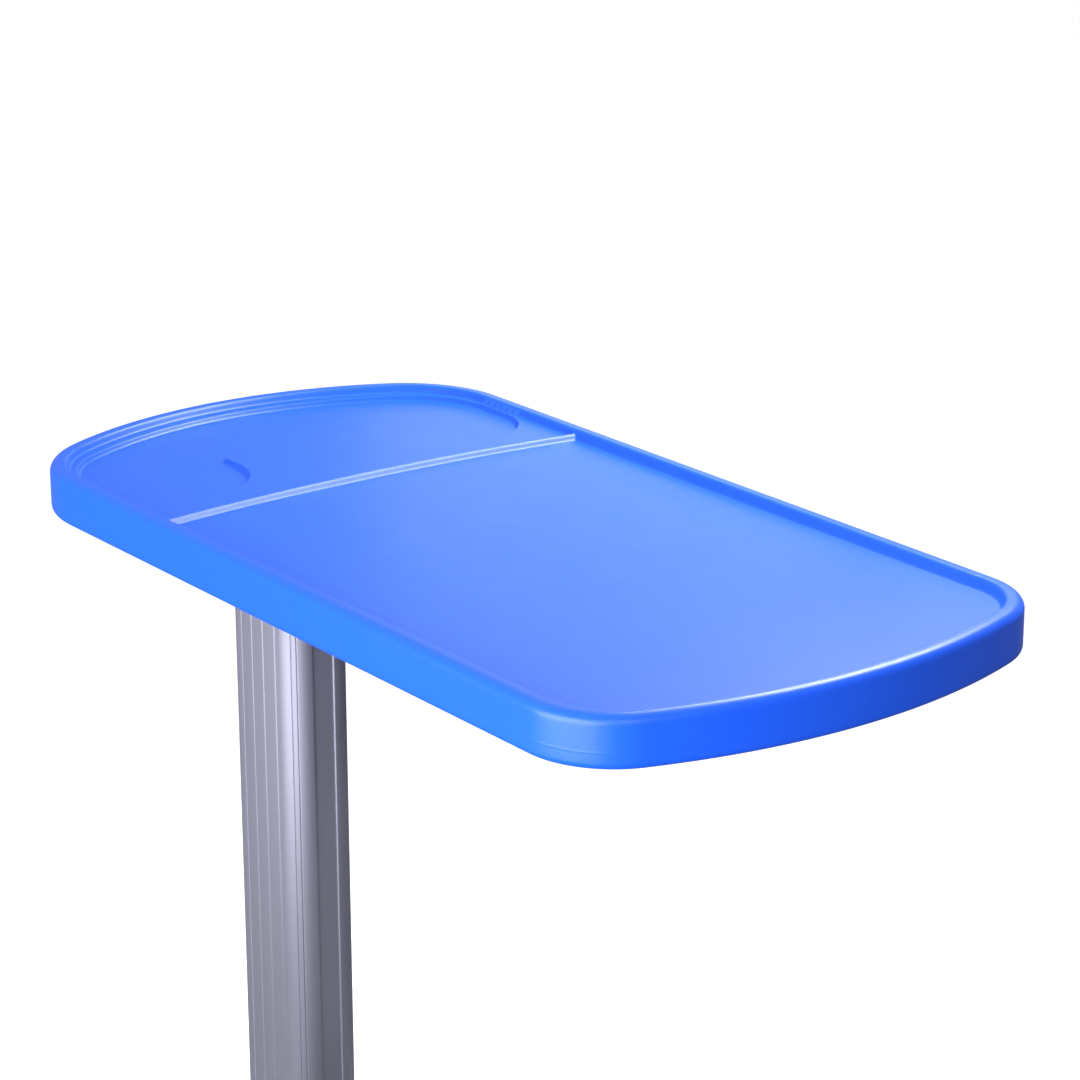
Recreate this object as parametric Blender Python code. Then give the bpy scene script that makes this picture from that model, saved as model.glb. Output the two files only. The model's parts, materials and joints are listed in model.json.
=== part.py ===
"""Overbed table: a blow-moulded tray top on a telescopic aluminium column and a low castor base.

Metres, +Z up.  The origin is on the floor under the middle of the table top.  +X runs along the
top, away from the column.  The model stands at its lowest height.
"""
import math

import bmesh
import bpy
from mathutils import Vector

# ------------------------------------------------------------------ driving dimensions
GAP = 0.0003                      # clearance between pieces that touch on the real table

TOP_LENGTH = 0.800
TOP_WIDTH = 0.403
TOP_THICKNESS = 0.037
TOP_HEIGHT = 0.760                # rim above the floor at the lowest height

COLUMN_END = {"bow": 0.320, "corner": 0.098}    # plan radii of the end over the column
FREE_END = {"bow": 0.468, "corner": 0.068}      # plan radii of the overhanging end

DECK_DEPTH = 0.0075               # all depths are below the top of the rim
LEDGE_DEPTH = 0.0060
RECESS_DEPTH = 0.0100
RIDGE_DEPTH = 0.0030
CEILING_DEPTH = 0.0125            # top of the hollow inside the moulding
SHELL_WALL = 0.0035
RIM_FOOT = 0.0165                 # how far in the rim meets the deck
BOTTOM_ROUND = 0.0050             # rounding of the lower edge
RECESS_INSET = 0.0175
RECESS_LEDGE = 0.0065             # extra width of the ledge at the bowed end

RIDGE_X = -0.165                  # middle of the divider
RIDGE_BOW = 0.012                 # how far its ends lie towards +X
RIDGE_WIDTH = 0.0100
FAR_LOBE = {"x": -0.240, "radius": 0.0495}
NEAR_LOBE = {"x": -0.252, "radius": 0.0600}
NECK_X = -0.274

COLUMN_X = -0.2855
SLEEVE = (0.097, 0.0605)          # outer section of the upper column, along X and Y
SLEEVE_BOW = 0.0012               # how far its wide faces bulge
SLEEVE_WALL = 0.003
SLEEVE_CORNER = 0.020
GROOVE_PITCH = 0.0164             # four fine grooves down each wide face
CHANNEL = (0.0208, 0.0010)        # width and depth of the channel down each narrow face
SLEEVE_LENGTH = 0.508
SLEEVE_BOTTOM = 0.160
MAST = (0.085, 0.0485)            # outer section of the lower column
MAST_CORNER = 0.014
MAST_WALL = 0.0025
MAST_LENGTH = 0.548

LEG_WIDTH = 0.050
LEG_HEIGHT = 0.025
LEG_BOTTOM = 0.0625
LEG_WALL = 0.002
LEG_Y = 0.165
LEG_X = (-0.360, 0.300)
CROSSBEAM_WIDTH = 0.070
FOOT_PLATE = (0.098, 0.124, 0.008)

WHEEL_RADIUS = 0.025
WHEEL_WIDTH = 0.017
WHEEL_OFFSET = 0.0130             # middle of each wheel from the middle of its castor
CASTOR_TRAIL = 0.017
CASTOR_X = (-0.330, 0.270)
STEM_RADIUS = 0.005
AXLE_RADIUS = 0.003

RAIL_Y = 0.100
RAIL_WIDTH = 0.025
RAIL_HEIGHT = 0.015
RAIL_X = (-0.345, 0.260)
RAIL_WALL = 0.0015
HEAD_PLATE = (0.124, 0.222, 0.010)
HEAD_BOSS = (0.113, 0.080, 0.053)

LEVER_PIVOT_Y = 0.050
LEVER_Z = 0.684
LEVER_TIP_Y = 0.172
LEVER_WIDTH = 0.012
LEVER_THICKNESS = 0.004

# ------------------------------------------------------------------ worked-out heights
UNDERSIDE = TOP_HEIGHT - TOP_THICKNESS
RAIL_TOP = UNDERSIDE - GAP
RAIL_BOTTOM = RAIL_TOP - RAIL_HEIGHT
HEAD_TOP = RAIL_BOTTOM - GAP
HEAD_BOTTOM = HEAD_TOP - HEAD_PLATE[2]
SLEEVE_TOP = SLEEVE_BOTTOM + SLEEVE_LENGTH
LEG_TOP = LEG_BOTTOM + LEG_HEIGHT
PLATE_BOTTOM = LEG_TOP + GAP
PLATE_TOP = PLATE_BOTTOM + FOOT_PLATE[2]
MAST_BOTTOM = PLATE_TOP + GAP
MAST_TOP = MAST_BOTTOM + MAST_LENGTH


# ------------------------------------------------------------------ materials
def make_material(name, colour, roughness, metallic=0.0):
    material = bpy.data.materials.new(name)
    material.use_nodes = True
    shader = material.node_tree.nodes["Principled BSDF"]
    shader.inputs["Base Color"].default_value = (*colour, 1.0)
    shader.inputs["Roughness"].default_value = roughness
    shader.inputs["Metallic"].default_value = metallic
    return material


BLUE = make_material("blue_polyethylene", (0.05, 0.22, 0.93), 0.38)
ALUMINIUM = make_material("anodised_aluminium", (0.34, 0.34, 0.42), 0.38, 0.9)
CAST = make_material("cast_aluminium", (0.50, 0.51, 0.53), 0.55, 0.9)
PAINT = make_material("painted_steel", (0.62, 0.64, 0.66), 0.45)
ZINC = make_material("zinc_plated_steel", (0.62, 0.63, 0.65), 0.35, 1.0)
CHROME = make_material("chromed_steel", (0.78, 0.78, 0.80), 0.12, 1.0)
BLACK = make_material("black_enamel", (0.02, 0.02, 0.022), 0.35)
GREY_PLASTIC = make_material("grey_plastic", (0.20, 0.21, 0.23), 0.50)
ACETAL = make_material("white_acetal", (0.80, 0.80, 0.77), 0.45)
TREAD = make_material("grey_tread", (0.30, 0.31, 0.33), 0.60)


# ------------------------------------------------------------------ building blocks
def empty_at(name, location, parent=None, turn=0):
    """Guide on a joint's axis that moving pieces hang from, turned about the vertical."""
    guide = bpy.data.objects.new(name, None)
    guide.location = location
    guide.rotation_euler.z = turn
    guide.parent = parent
    bpy.context.scene.collection.objects.link(guide)
    return guide


def place(name, mesh, material, location=(0, 0, 0), rotation=(0, 0, 0), parent=None):
    """Put a mesh in the scene as one named piece."""
    piece = bpy.data.objects.new(name, mesh)
    piece.location = location
    piece.rotation_euler = rotation
    piece.parent = parent
    if material is not None and not mesh.materials:
        mesh.materials.append(material)
    bpy.context.scene.collection.objects.link(piece)
    return piece


def to_mesh(bm, name):
    """Finish a bmesh: outward faces, smooth rounds, sharp corners."""
    bmesh.ops.remove_doubles(bm, verts=bm.verts, dist=1e-7)
    bmesh.ops.recalc_face_normals(bm, faces=bm.faces)
    mesh = bpy.data.meshes.new(name)
    bm.to_mesh(mesh)
    bm.free()
    mesh.shade_smooth()
    mesh.set_sharp_from_angle(angle=math.radians(35))
    return mesh


def prism(name, outlines, low, high):
    """Upright solid between two heights; the outlines after the first are holes."""
    bm = bmesh.new()
    edges = []
    for outline in outlines:
        verts = [bm.verts.new((x, y, low)) for x, y in outline]
        edges += [bm.edges.new((verts[i - 1], verts[i])) for i in range(len(verts))]
    floor = bmesh.ops.triangle_fill(bm, edges=edges, use_beauty=True)["geom"]
    faces = [item for item in floor if isinstance(item, bmesh.types.BMFace)]
    lifted = bmesh.ops.extrude_face_region(bm, geom=faces)["geom"]
    top = [item for item in lifted if isinstance(item, bmesh.types.BMVert)]
    bmesh.ops.translate(bm, verts=top, vec=(0, 0, high - low))
    return to_mesh(bm, name)


def loft(name, rings):
    """Solid through closed rings of equal count, capped at both ends."""
    bm = bmesh.new()
    loops = [[bm.verts.new(point) for point in ring] for ring in rings]
    for lower, upper in zip(loops, loops[1:]):
        for i in range(len(lower)):
            bm.faces.new((lower[i - 1], lower[i], upper[i], upper[i - 1]))
    bm.faces.new(loops[0])
    bm.faces.new(loops[-1])
    return to_mesh(bm, name)


def closed_loft(name, rings):
    """Ring-shaped solid whose section runs through the rings and back to the first."""
    bm = bmesh.new()
    loops = [[bm.verts.new(point) for point in ring] for ring in rings]
    for one, two in zip(loops, loops[1:] + loops[:1]):
        for i in range(len(one)):
            bm.faces.new((one[i - 1], one[i], two[i], two[i - 1]))
    return to_mesh(bm, name)


def turned(name, profile, steps, axis="Z"):
    """Solid of revolution from (radius, height) points; a profile off the axis is a closed ring."""
    bm = bmesh.new()

    def point(radius, height, turn):
        u = radius * math.cos(turn)
        v = radius * math.sin(turn)
        return {"Z": (u, v, height), "Y": (v, height, -u), "X": (height, v, -u)}[axis]

    columns = []
    for radius, height in profile:
        if radius == 0:
            columns.append([bm.verts.new(point(0, height, 0))] * steps)
        else:
            turns = [2 * math.pi * k / steps for k in range(steps)]
            columns.append([bm.verts.new(point(radius, height, turn)) for turn in turns])
    pairs = list(zip(columns, columns[1:]))
    if profile[0][0] > 0:
        pairs.append((columns[-1], columns[0]))
    for one, two in pairs:
        for k in range(steps):
            corners = []
            for vert in (one[k - 1], one[k], two[k], two[k - 1]):
                if vert not in corners:
                    corners.append(vert)
            if len(corners) > 2:
                bm.faces.new(corners)
    return to_mesh(bm, name)


def cuboid(name, low, high):
    """Box between two corners."""
    (x0, y0, z0), (x1, y1, z1) = low, high
    return prism(name, [[(x0, y0), (x1, y0), (x1, y1), (x0, y1)]], z0, z1)


def disc_outline(radius, steps, centre=(0, 0)):
    turns = [2 * math.pi * k / steps for k in range(steps)]
    return [(centre[0] + radius * math.cos(t), centre[1] + radius * math.sin(t)) for t in turns]


def arc(centre, radius, start, end, steps):
    """Points on a circle between two angles in degrees, both ends included."""
    points = []
    for k in range(steps + 1):
        turn = math.radians(start + (end - start) * k / steps)
        points.append((centre[0] + radius * math.cos(turn), centre[1] + radius * math.sin(turn)))
    return points


def rounded_rectangle(size, corner, steps=4, centre=(0, 0)):
    """Anticlockwise outline of a rectangle with round corners."""
    half_x = size[0] / 2 - corner
    half_y = size[1] / 2 - corner
    points = []
    for sign_x, sign_y, start in ((1, 1, 0), (-1, 1, 90), (-1, -1, 180), (1, -1, 270)):
        middle = (centre[0] + sign_x * half_x, centre[1] + sign_y * half_y)
        points += arc(middle, corner, start, start + 90, steps)
    return points


def helper(name, mesh, location=(0, 0, 0), rotation=(0, 0, 0)):
    """Tool for a Boolean, which isn't a piece of the table."""
    tool = place(name, mesh, None, location, rotation)
    tool.hide_render = True
    tool.display_type = "WIRE"
    return tool


def boolean(piece, tool, operation):
    modifier = piece.modifiers.new(f"{operation.lower()}_{tool.name}", "BOOLEAN")
    modifier.operation = operation
    modifier.solver = "EXACT"
    modifier.object = tool
    return modifier


def settled_mesh(piece):
    """The piece's mesh with its modifiers applied, for sharing between copies."""
    bpy.context.view_layer.update()
    depsgraph = bpy.context.evaluated_depsgraph_get()
    mesh = bpy.data.meshes.new_from_object(piece.evaluated_get(depsgraph))
    tools = [modifier.object for modifier in piece.modifiers if modifier.type == "BOOLEAN"]
    for item in [piece, *tools]:
        bpy.data.objects.remove(item, do_unlink=True)
    mesh.shade_smooth()
    mesh.set_sharp_from_angle(angle=math.radians(35))
    return mesh


# ------------------------------------------------------------------ plan of the table top
def end_outline(radii, inset, steps=(6, 10)):
    """Right-hand end of the plan, from the -Y side round to the +Y side."""
    bow, corner = radii["bow"], radii["corner"]
    bow_x = TOP_LENGTH / 2 - bow
    corner_y = TOP_WIDTH / 2 - corner
    reach = math.sqrt((bow - corner) ** 2 - corner_y ** 2)
    meet = math.degrees(math.atan2(corner_y, reach))
    corner_x = bow_x + reach
    near = arc((corner_x, -corner_y), corner - inset, -90, -meet, steps[0])
    middle = arc((bow_x, 0), bow - inset, -meet, meet, steps[1])
    far = arc((corner_x, corner_y), corner - inset, meet, 90, steps[0])
    return near + middle[1:-1] + far


def turned_round(points):
    """The same points on the opposite end."""
    return [(-x, -y) for x, y in points]


def top_outline(inset):
    return end_outline(FREE_END, inset) + turned_round(end_outline(COLUMN_END, inset))


def ridge_line(y):
    """X of the divider's middle line."""
    return RIDGE_X + RIDGE_BOW * (y / (TOP_WIDTH / 2 - RIM_FOOT)) ** 2


def top_rings(profile):
    """Rings of the plan at (inset, depth) steps."""
    rings = []
    for inset, depth in profile:
        rings.append([(x, y, TOP_HEIGHT - depth) for x, y in top_outline(inset)])
    return rings


# ------------------------------------------------------------------ table top
def moulded_top(parent):
    """Hollow moulding with a raised rim, a bowed divider and a shaped recess over the column."""
    lower_edge = [(BOTTOM_ROUND - across, TOP_THICKNESS - BOTTOM_ROUND + down)
                  for across, down in arc((0, 0), BOTTOM_ROUND, 90, 0, 3)]
    outside = lower_edge + [(0.0, 0.0060), (0.0020, 0.0018), (0.0065, 0.0), (0.0115, 0.0),
                            (0.0145, 0.0030), (RIM_FOOT, DECK_DEPTH)]
    rings = top_rings(outside)
    top = place("tabletop", loft("tabletop", rings), BLUE)
    in_deck = DECK_DEPTH + 0.002

    side = TOP_WIDTH / 2 - 0.0148
    divider = [(ridge_line(y), y) for y in [side * (k / 4 - 1) for k in range(9)]]
    ledge = divider + turned_round(end_outline(COLUMN_END, 0.0148))
    ledge_mesh = prism("ledge_tool", [ledge], TOP_HEIGHT - in_deck, TOP_HEIGHT - LEDGE_DEPTH)
    boolean(top, helper("ledge_tool", ledge_mesh), "UNION")

    section = [(-RIDGE_WIDTH / 2, in_deck), (RIDGE_WIDTH / 2, in_deck),
               (RIDGE_WIDTH / 5, RIDGE_DEPTH), (-RIDGE_WIDTH / 5, RIDGE_DEPTH)]
    reach = TOP_WIDTH / 2 - 0.0136
    stations = [reach * (k / 5 - 1) for k in range(11)]
    rows = [[(ridge_line(y) + x, y, TOP_HEIGHT - depth) for x, depth in section] for y in stations]
    boolean(top, helper("ridge_tool", loft("ridge_tool", rows)), "UNION")

    recess = []
    for lobe, sign in ((NEAR_LOBE, -1), (FAR_LOBE, 1)):
        middle = sign * (TOP_WIDTH / 2 - RECESS_INSET - lobe["radius"])
        edge = middle - sign * lobe["radius"]
        curve = arc((lobe["x"], middle), lobe["radius"], -90, 90, 12)
        corner = (NECK_X, edge)
        recess += [*curve, corner] if sign < 0 else [corner, *curve]
    wall = end_outline(COLUMN_END, RECESS_INSET)
    recess += [(x + RECESS_LEDGE, y) for x, y in turned_round(wall)]
    recess_mesh = prism("recess_tool", [recess], TOP_HEIGHT - RECESS_DEPTH, TOP_HEIGHT + 0.01)
    boolean(top, helper("recess_tool", recess_mesh), "DIFFERENCE")

    floor = TOP_THICKNESS - SHELL_WALL
    inside = [(0.0165, floor), (0.0085, 0.0300), (0.0040, 0.0210), (0.0040, CEILING_DEPTH)]
    boolean(top, helper("hollow_tool", loft("hollow_tool", top_rings(inside))), "DIFFERENCE")

    holes = [((0.055, 0.0), 0.009)] + [(spot, 0.0026) for spot in screw_spots()]
    for number, ((x, y), radius) in enumerate(holes):
        hole = prism("hole", [disc_outline(radius, 16)], UNDERSIDE - 0.002, UNDERSIDE + 0.006)
        boolean(top, helper(f"top_hole_tool_{number}", hole, (x, y, 0)), "DIFFERENCE")
    top.parent = parent
    top.matrix_parent_inverse = parent.matrix_world.inverted()
    return top


def screw_spots():
    """Plan positions of the screws that hold the moulding to its frame."""
    return [(x, side * RAIL_Y) for x in (-0.200, 0.200) for side in (-1, 1)]


# ------------------------------------------------------------------ steel frame under the top
def tube(name, size, wall, length):
    """Rectangular tube along its own Z, starting at zero."""
    inner = (size[0] - 2 * wall, size[1] - 2 * wall)
    outlines = [rounded_rectangle(size, wall + 0.001, 2), rounded_rectangle(inner, 0.0008, 1)]
    return prism(name, outlines, 0, length)


ALONG_X = (math.pi / 2, 0, math.pi / 2)       # turns a tube's own Z to +X, its own Y to +Z
ALONG_Y = (-math.pi / 2, 0, 0)                # turns a tube's own Z to +Y


def top_frame(parent):
    middle = (RAIL_TOP + RAIL_BOTTOM) / 2
    size = (RAIL_WIDTH, RAIL_HEIGHT)
    for name, y in (("frame_rail_near", -RAIL_Y), ("frame_rail_far", RAIL_Y)):
        mesh = tube(name, size, RAIL_WALL, RAIL_X[1] - RAIL_X[0])
        rail = hang(place(name, mesh, PAINT, (RAIL_X[0], y, middle), ALONG_X), parent)
        for number, (x, spot_y) in enumerate(screw_spots()):
            if spot_y == y:
                hole = prism("hole", [disc_outline(0.0026, 12)], RAIL_BOTTOM - 0.002, RAIL_TOP + 0.002)
                boolean(rail, helper(f"{name}_hole_tool_{number}", hole, (x, y, 0)), "DIFFERENCE")
    reach = RAIL_Y - RAIL_WIDTH / 2 - GAP
    for name, x in (("frame_tie_column", RAIL_X[0] + 0.015), ("frame_tie_free", RAIL_X[1] - 0.015)):
        mesh = tube(name, size, RAIL_WALL, 2 * reach)
        hang(place(name, mesh, PAINT, (x, -reach, middle), ALONG_Y), parent)


def hang(piece, parent):
    """Parent a piece without moving it."""
    piece.parent = parent
    piece.matrix_parent_inverse = parent.matrix_world.inverted()
    return piece


def top_screws(parent):
    """Pan-head screws up through the rails."""
    head = RAIL_BOTTOM - GAP
    shank = UNDERSIDE + SHELL_WALL + 0.006 - head
    profile = [(0, -0.0030), (0.0035, -0.0030), (0.0048, -0.0016), (0.0048, 0), (0.0020, 0),
               (0.0020, shank - 0.002), (0, shank)]
    mesh = turned("top_screw", profile, 12)
    names = ("top_screw_1", "top_screw_2", "top_screw_3", "top_screw_4")
    for name, (x, y) in zip(names, screw_spots()):
        hang(place(name, mesh, ZINC, (x, y, head)), parent)


# ------------------------------------------------------------------ column head and release
def column_head(parent):
    """Cast plate with a socket for the column and ears for the release lever."""
    socket = (SLEEVE[0] + 2 * GAP, SLEEVE[1] + 2 * (SLEEVE_BOW + GAP))
    boss = HEAD_BOSS
    plate = rounded_rectangle(HEAD_PLATE[:2], 0.012, 3)
    head = place("column_head", prism("column_head", [plate], HEAD_BOTTOM, HEAD_TOP), CAST,
                 (COLUMN_X, 0, 0))
    low = HEAD_BOTTOM - boss[2]
    collar = prism("head_boss_tool", [rounded_rectangle(boss[:2], 0.026, 6)], low, HEAD_BOTTOM + 0.004)
    boolean(head, helper("head_boss_tool", collar, (COLUMN_X, 0, 0)), "UNION")
    for side in (-1, 1):
        ear = cuboid("ear", (-0.002, HEAD_BOSS[1] / 2 - 0.002, LEVER_Z - 0.008),
                     (0.002, LEVER_PIVOT_Y + 0.008, HEAD_BOTTOM + 0.004))
        tool = helper(f"head_ear_tool_{side + 1}", ear, (COLUMN_X + side * 0.015, 0, 0))
        boolean(head, tool, "UNION")
    bore = prism("head_bore_tool", [rounded_rectangle(socket, SLEEVE_CORNER, 6)], low - 0.01,
                 HEAD_BOTTOM - 0.0005)
    boolean(head, helper("head_bore_tool", bore, (COLUMN_X, 0, 0)), "DIFFERENCE")
    slot = cuboid("head_slot_tool", (-0.011, 0.020, SLEEVE_TOP + 0.004),
                  (0.011, 0.060, HEAD_BOTTOM - 0.0005))
    boolean(head, helper("head_slot_tool", slot, (COLUMN_X, 0, 0)), "DIFFERENCE")
    pin_hole = turned("head_pin_tool", [(0, -0.030), (0.0033, -0.030), (0.0033, 0.030), (0, 0.030)],
                      16, "X")
    where = (COLUMN_X, LEVER_PIVOT_Y, LEVER_Z)
    boolean(head, helper("head_pin_tool", pin_hole, where), "DIFFERENCE")
    hang(head, parent)

    pin = turned("lever_pin", [(0, -0.0195), (0.0050, -0.0195), (0.0050, -0.0174), (0.0030, -0.0174),
                               (0.0030, 0.0185), (0, 0.0185)], 16, "X")
    hang(place("lever_pin", pin, ZINC, where), parent)


def return_spring(parent):
    """Torsion spring on the lever's pin, as a tube along a helix."""
    coil, wire, turns, sides = 0.0052, 0.0008, 3, 4
    steps = 10 * turns
    start, length = 0.0070, 0.0045
    route = []
    for k in range(steps + 1):
        turn = 2 * math.pi * k * turns / steps
        route.append(Vector((start + length * k / steps, coil * math.cos(turn), coil * math.sin(turn))))
    bm = bmesh.new()
    rings = []
    for k, centre in enumerate(route):
        ahead = route[min(k + 1, steps)] - route[max(k - 1, 0)]
        outward = Vector((0, centre.y, centre.z)).normalized()
        across = ahead.cross(outward).normalized()
        ring = []
        for s in range(sides):
            turn = 2 * math.pi * s / sides
            ring.append(bm.verts.new(centre + wire * (math.cos(turn) * outward + math.sin(turn) * across)))
        rings.append(ring)
    for one, two in zip(rings, rings[1:]):
        for s in range(sides):
            bm.faces.new((one[s - 1], one[s], two[s], two[s - 1]))
    bm.faces.new(rings[0])
    bm.faces.new(rings[-1])
    mesh = to_mesh(bm, "lever_spring")
    hang(place("lever_spring", mesh, ZINC, (COLUMN_X, LEVER_PIVOT_Y, LEVER_Z)), parent)


def release_lever(parent):
    """Flat bar that rocks on its pin: the hand lifts one end, the other presses the valve pin.

    Its guide is turned half round, so the hand's end lies along -Y here.
    """
    half = LEVER_THICKNESS / 2
    inner = LEVER_PIVOT_Y + 0.006
    outer = LEVER_PIVOT_Y - LEVER_TIP_Y
    barrel = 0.0058
    profile = [(outer, -half)] + arc((0, 0), barrel, 200, 340, 6) + [(inner, -half), (inner, half)]
    profile += arc((0, 0), barrel, 20, 160, 6) + [(outer, half)]
    bm = bmesh.new()
    width = LEVER_WIDTH / 2
    loops = [[bm.verts.new((x, y, z)) for y, z in profile] for x in (-width, width)]
    for i in range(len(profile)):
        bm.faces.new((loops[0][i - 1], loops[0][i], loops[1][i], loops[1][i - 1]))
    bm.faces.new(loops[0])
    bm.faces.new(loops[1])
    lever = place("release_lever", to_mesh(bm, "release_lever"), ZINC, parent=parent)
    bore = turned("lever_bore_tool", [(0, -0.02), (0.0033, -0.02), (0.0033, 0.02), (0, 0.02)], 16, "X")
    tool = helper("lever_bore_tool", bore)
    tool.parent = parent
    boolean(lever, tool, "DIFFERENCE")

    inside = [(-width - GAP, -half - GAP), (width + GAP, -half - GAP), (width + GAP, half + GAP),
              (-width - GAP, half + GAP)]
    paddle = rounded_rectangle((0.030, 0.012), 0.0045, 3)
    paddle_mesh = prism("lever_grip", [paddle], 0, 0.046)
    grip = place("lever_grip", paddle_mesh, BLACK, (0, outer - 0.006, 0), ALONG_Y, parent)
    pocket = helper("lever_grip_tool", prism("pocket", [inside], 0.0055, 0.08), (0, outer - 0.006, 0),
                    ALONG_Y)
    pocket.parent = parent
    boolean(grip, pocket, "DIFFERENCE")


# ------------------------------------------------------------------ telescopic column
def sleeve_outline():
    """Outer section of the upper column with shallow grooves drawn along it."""
    half_x, half_y = SLEEVE[0] / 2, SLEEVE[1] / 2
    corner_x, corner_y = half_x - SLEEVE_CORNER, half_y - SLEEVE_CORNER
    groove_width, groove_depth = 0.0014, 0.0007
    wide = []
    for at in [GROOVE_PITCH * step for step in (-1.5, -0.5, 0.5, 1.5)]:
        for along, deep in ((-0.5, 0), (-0.3, 1), (0.3, 1), (0.5, 0)):
            x = at + along * groove_width
            wide.append((x, half_y + SLEEVE_BOW * (1 - (x / corner_x) ** 2) - deep * groove_depth))
    edge, sunk = CHANNEL[0] / 2, half_x - CHANNEL[1]
    narrow = [(-edge, half_x), (-edge + 0.001, sunk), (edge - 0.001, sunk), (edge, half_x)]
    outline = []
    for sign in (1, -1):
        outline += [(sign * across, sign * along) for along, across in narrow]
        outline += arc((sign * corner_x, sign * corner_y), SLEEVE_CORNER, 90 - sign * 90, 180 - sign * 90, 6)
        outline += [(-sign * along, sign * across) for along, across in wide]
        outline += arc((-sign * corner_x, sign * corner_y), SLEEVE_CORNER,
                       180 - sign * 90, 270 - sign * 90, 6)
    return outline


def smaller(size, by):
    return (size[0] - 2 * by, size[1] - 2 * by)


def upper_column(parent):
    cavity = smaller(SLEEVE, SLEEVE_WALL)
    inner_corner = SLEEVE_CORNER - SLEEVE_WALL
    outlines = [sleeve_outline(), rounded_rectangle(cavity, inner_corner, 6)]
    mesh = prism("upper_sleeve", outlines, SLEEVE_BOTTOM, SLEEVE_TOP)
    hang(place("upper_sleeve", mesh, ALUMINIUM, (COLUMN_X, 0, 0)), parent)

    mast_hole = rounded_rectangle(smaller(MAST, -2 * GAP), MAST_CORNER + 2 * GAP, 6)
    collar = rounded_rectangle((SLEEVE[0] + 0.001, SLEEVE[1] + 2 * SLEEVE_BOW + 0.001), SLEEVE_CORNER, 6)
    bush = rounded_rectangle(smaller(cavity, GAP), inner_corner - GAP, 6)
    collar_top = SLEEVE_BOTTOM - GAP
    steps = [(mast_hole, collar_top - 0.012), (collar, collar_top - 0.012), (collar, collar_top),
             (bush, collar_top), (bush, collar_top + 0.045), (mast_hole, collar_top + 0.045)]
    mesh = closed_loft("sleeve_glide", [[(x, y, z) for x, y in outline] for outline, z in steps])
    hang(place("sleeve_glide", mesh, BLACK, (COLUMN_X, 0, 0)), parent)


def lower_column(parent):
    cavity = smaller(MAST, MAST_WALL)
    outlines = [rounded_rectangle(MAST, MAST_CORNER, 5),
                rounded_rectangle(cavity, MAST_CORNER - MAST_WALL, 5)]
    mesh = prism("lower_mast", outlines, MAST_BOTTOM, MAST_TOP)
    hang(place("lower_mast", mesh, ALUMINIUM, (COLUMN_X, 0, 0)), parent)

    inset = SLEEVE_WALL + 2 * GAP
    flange = rounded_rectangle(smaller(SLEEVE, inset), SLEEVE_CORNER - inset, 5)
    rod_hole = disc_outline(0.009, 20)
    mesh = prism("mast_glide", [flange, rod_hole], MAST_TOP + GAP, MAST_TOP + GAP + 0.012)
    hang(place("mast_glide", mesh, ACETAL, (COLUMN_X, 0, 0)), parent)


def gas_spring(base, top):
    """Lockable gas spring: cylinder on the base, rod and piston on the top."""
    foot = MAST_BOTTOM + 0.001
    cylinder_top = foot + 0.425
    bore = 0.0125
    fit = bore - 0.0005
    profile = [(0.0140, foot), (0.0140, cylinder_top), (bore, cylinder_top), (bore, foot + 0.020),
               (0.0030, foot + 0.018), (0.0030, foot)]
    mesh = turned("gas_cylinder", profile, 16)
    hang(place("gas_cylinder", mesh, BLACK, (COLUMN_X, 0, 0)), base)

    seal = [(fit, cylinder_top - 0.018), (fit, cylinder_top - 0.001),
            (0.0054, cylinder_top - 0.001), (0.0054, cylinder_top - 0.018)]
    hang(place("gas_gland", turned("gas_gland", seal, 16), ACETAL, (COLUMN_X, 0, 0)), base)

    piston_low = foot + 0.030
    piston_high = piston_low + 0.014
    piston = [(fit, piston_low), (fit, piston_high), (0.0042, piston_high), (0.0042, piston_low)]
    hang(place("gas_piston", turned("gas_piston", piston, 16), ZINC, (COLUMN_X, 0, 0)), top)

    rod_top = SLEEVE_TOP + 0.0085
    rod = [(0, piston_low - 0.002), (0.0039, piston_low - 0.002), (0.0039, piston_high + GAP),
           (0.0050, piston_high + GAP), (0.0050, rod_top), (0.0029, rod_top),
           (0.0029, rod_top - 0.035), (0, rod_top - 0.035)]
    hang(place("gas_rod", turned("gas_rod", rod, 16), CHROME, (COLUMN_X, 0, 0)), top)

    bridge = [rounded_rectangle((SLEEVE[0] - 0.004, 0.022), 0.002, 1), disc_outline(0.0053, 16)]
    mesh = prism("rod_bridge", bridge, SLEEVE_TOP + GAP, SLEEVE_TOP + 0.004)
    hang(place("rod_bridge", mesh, ZINC, (COLUMN_X, 0, 0)), top)
    nut = [disc_outline(0.0088, 6), disc_outline(0.0053, 16)]
    mesh = prism("rod_nut", nut, SLEEVE_TOP + 0.004 + GAP, SLEEVE_TOP + 0.008)
    hang(place("rod_nut", mesh, ZINC, (COLUMN_X, 0, 0)), top)
    return rod_top


def valve_pin(parent, rod_top):
    """Pin in the rod's end that opens the gas spring's valve."""
    high = LEVER_Z - LEVER_THICKNESS / 2 - GAP
    low = rod_top - 0.029
    profile = [(0, low), (0.0024, low), (0.0024, high - 0.001), (0.0016, high), (0, high)]
    mesh = turned("valve_pin", profile, 12)
    place("valve_pin", mesh, ZINC, (0, 0, -high), parent=parent)


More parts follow.
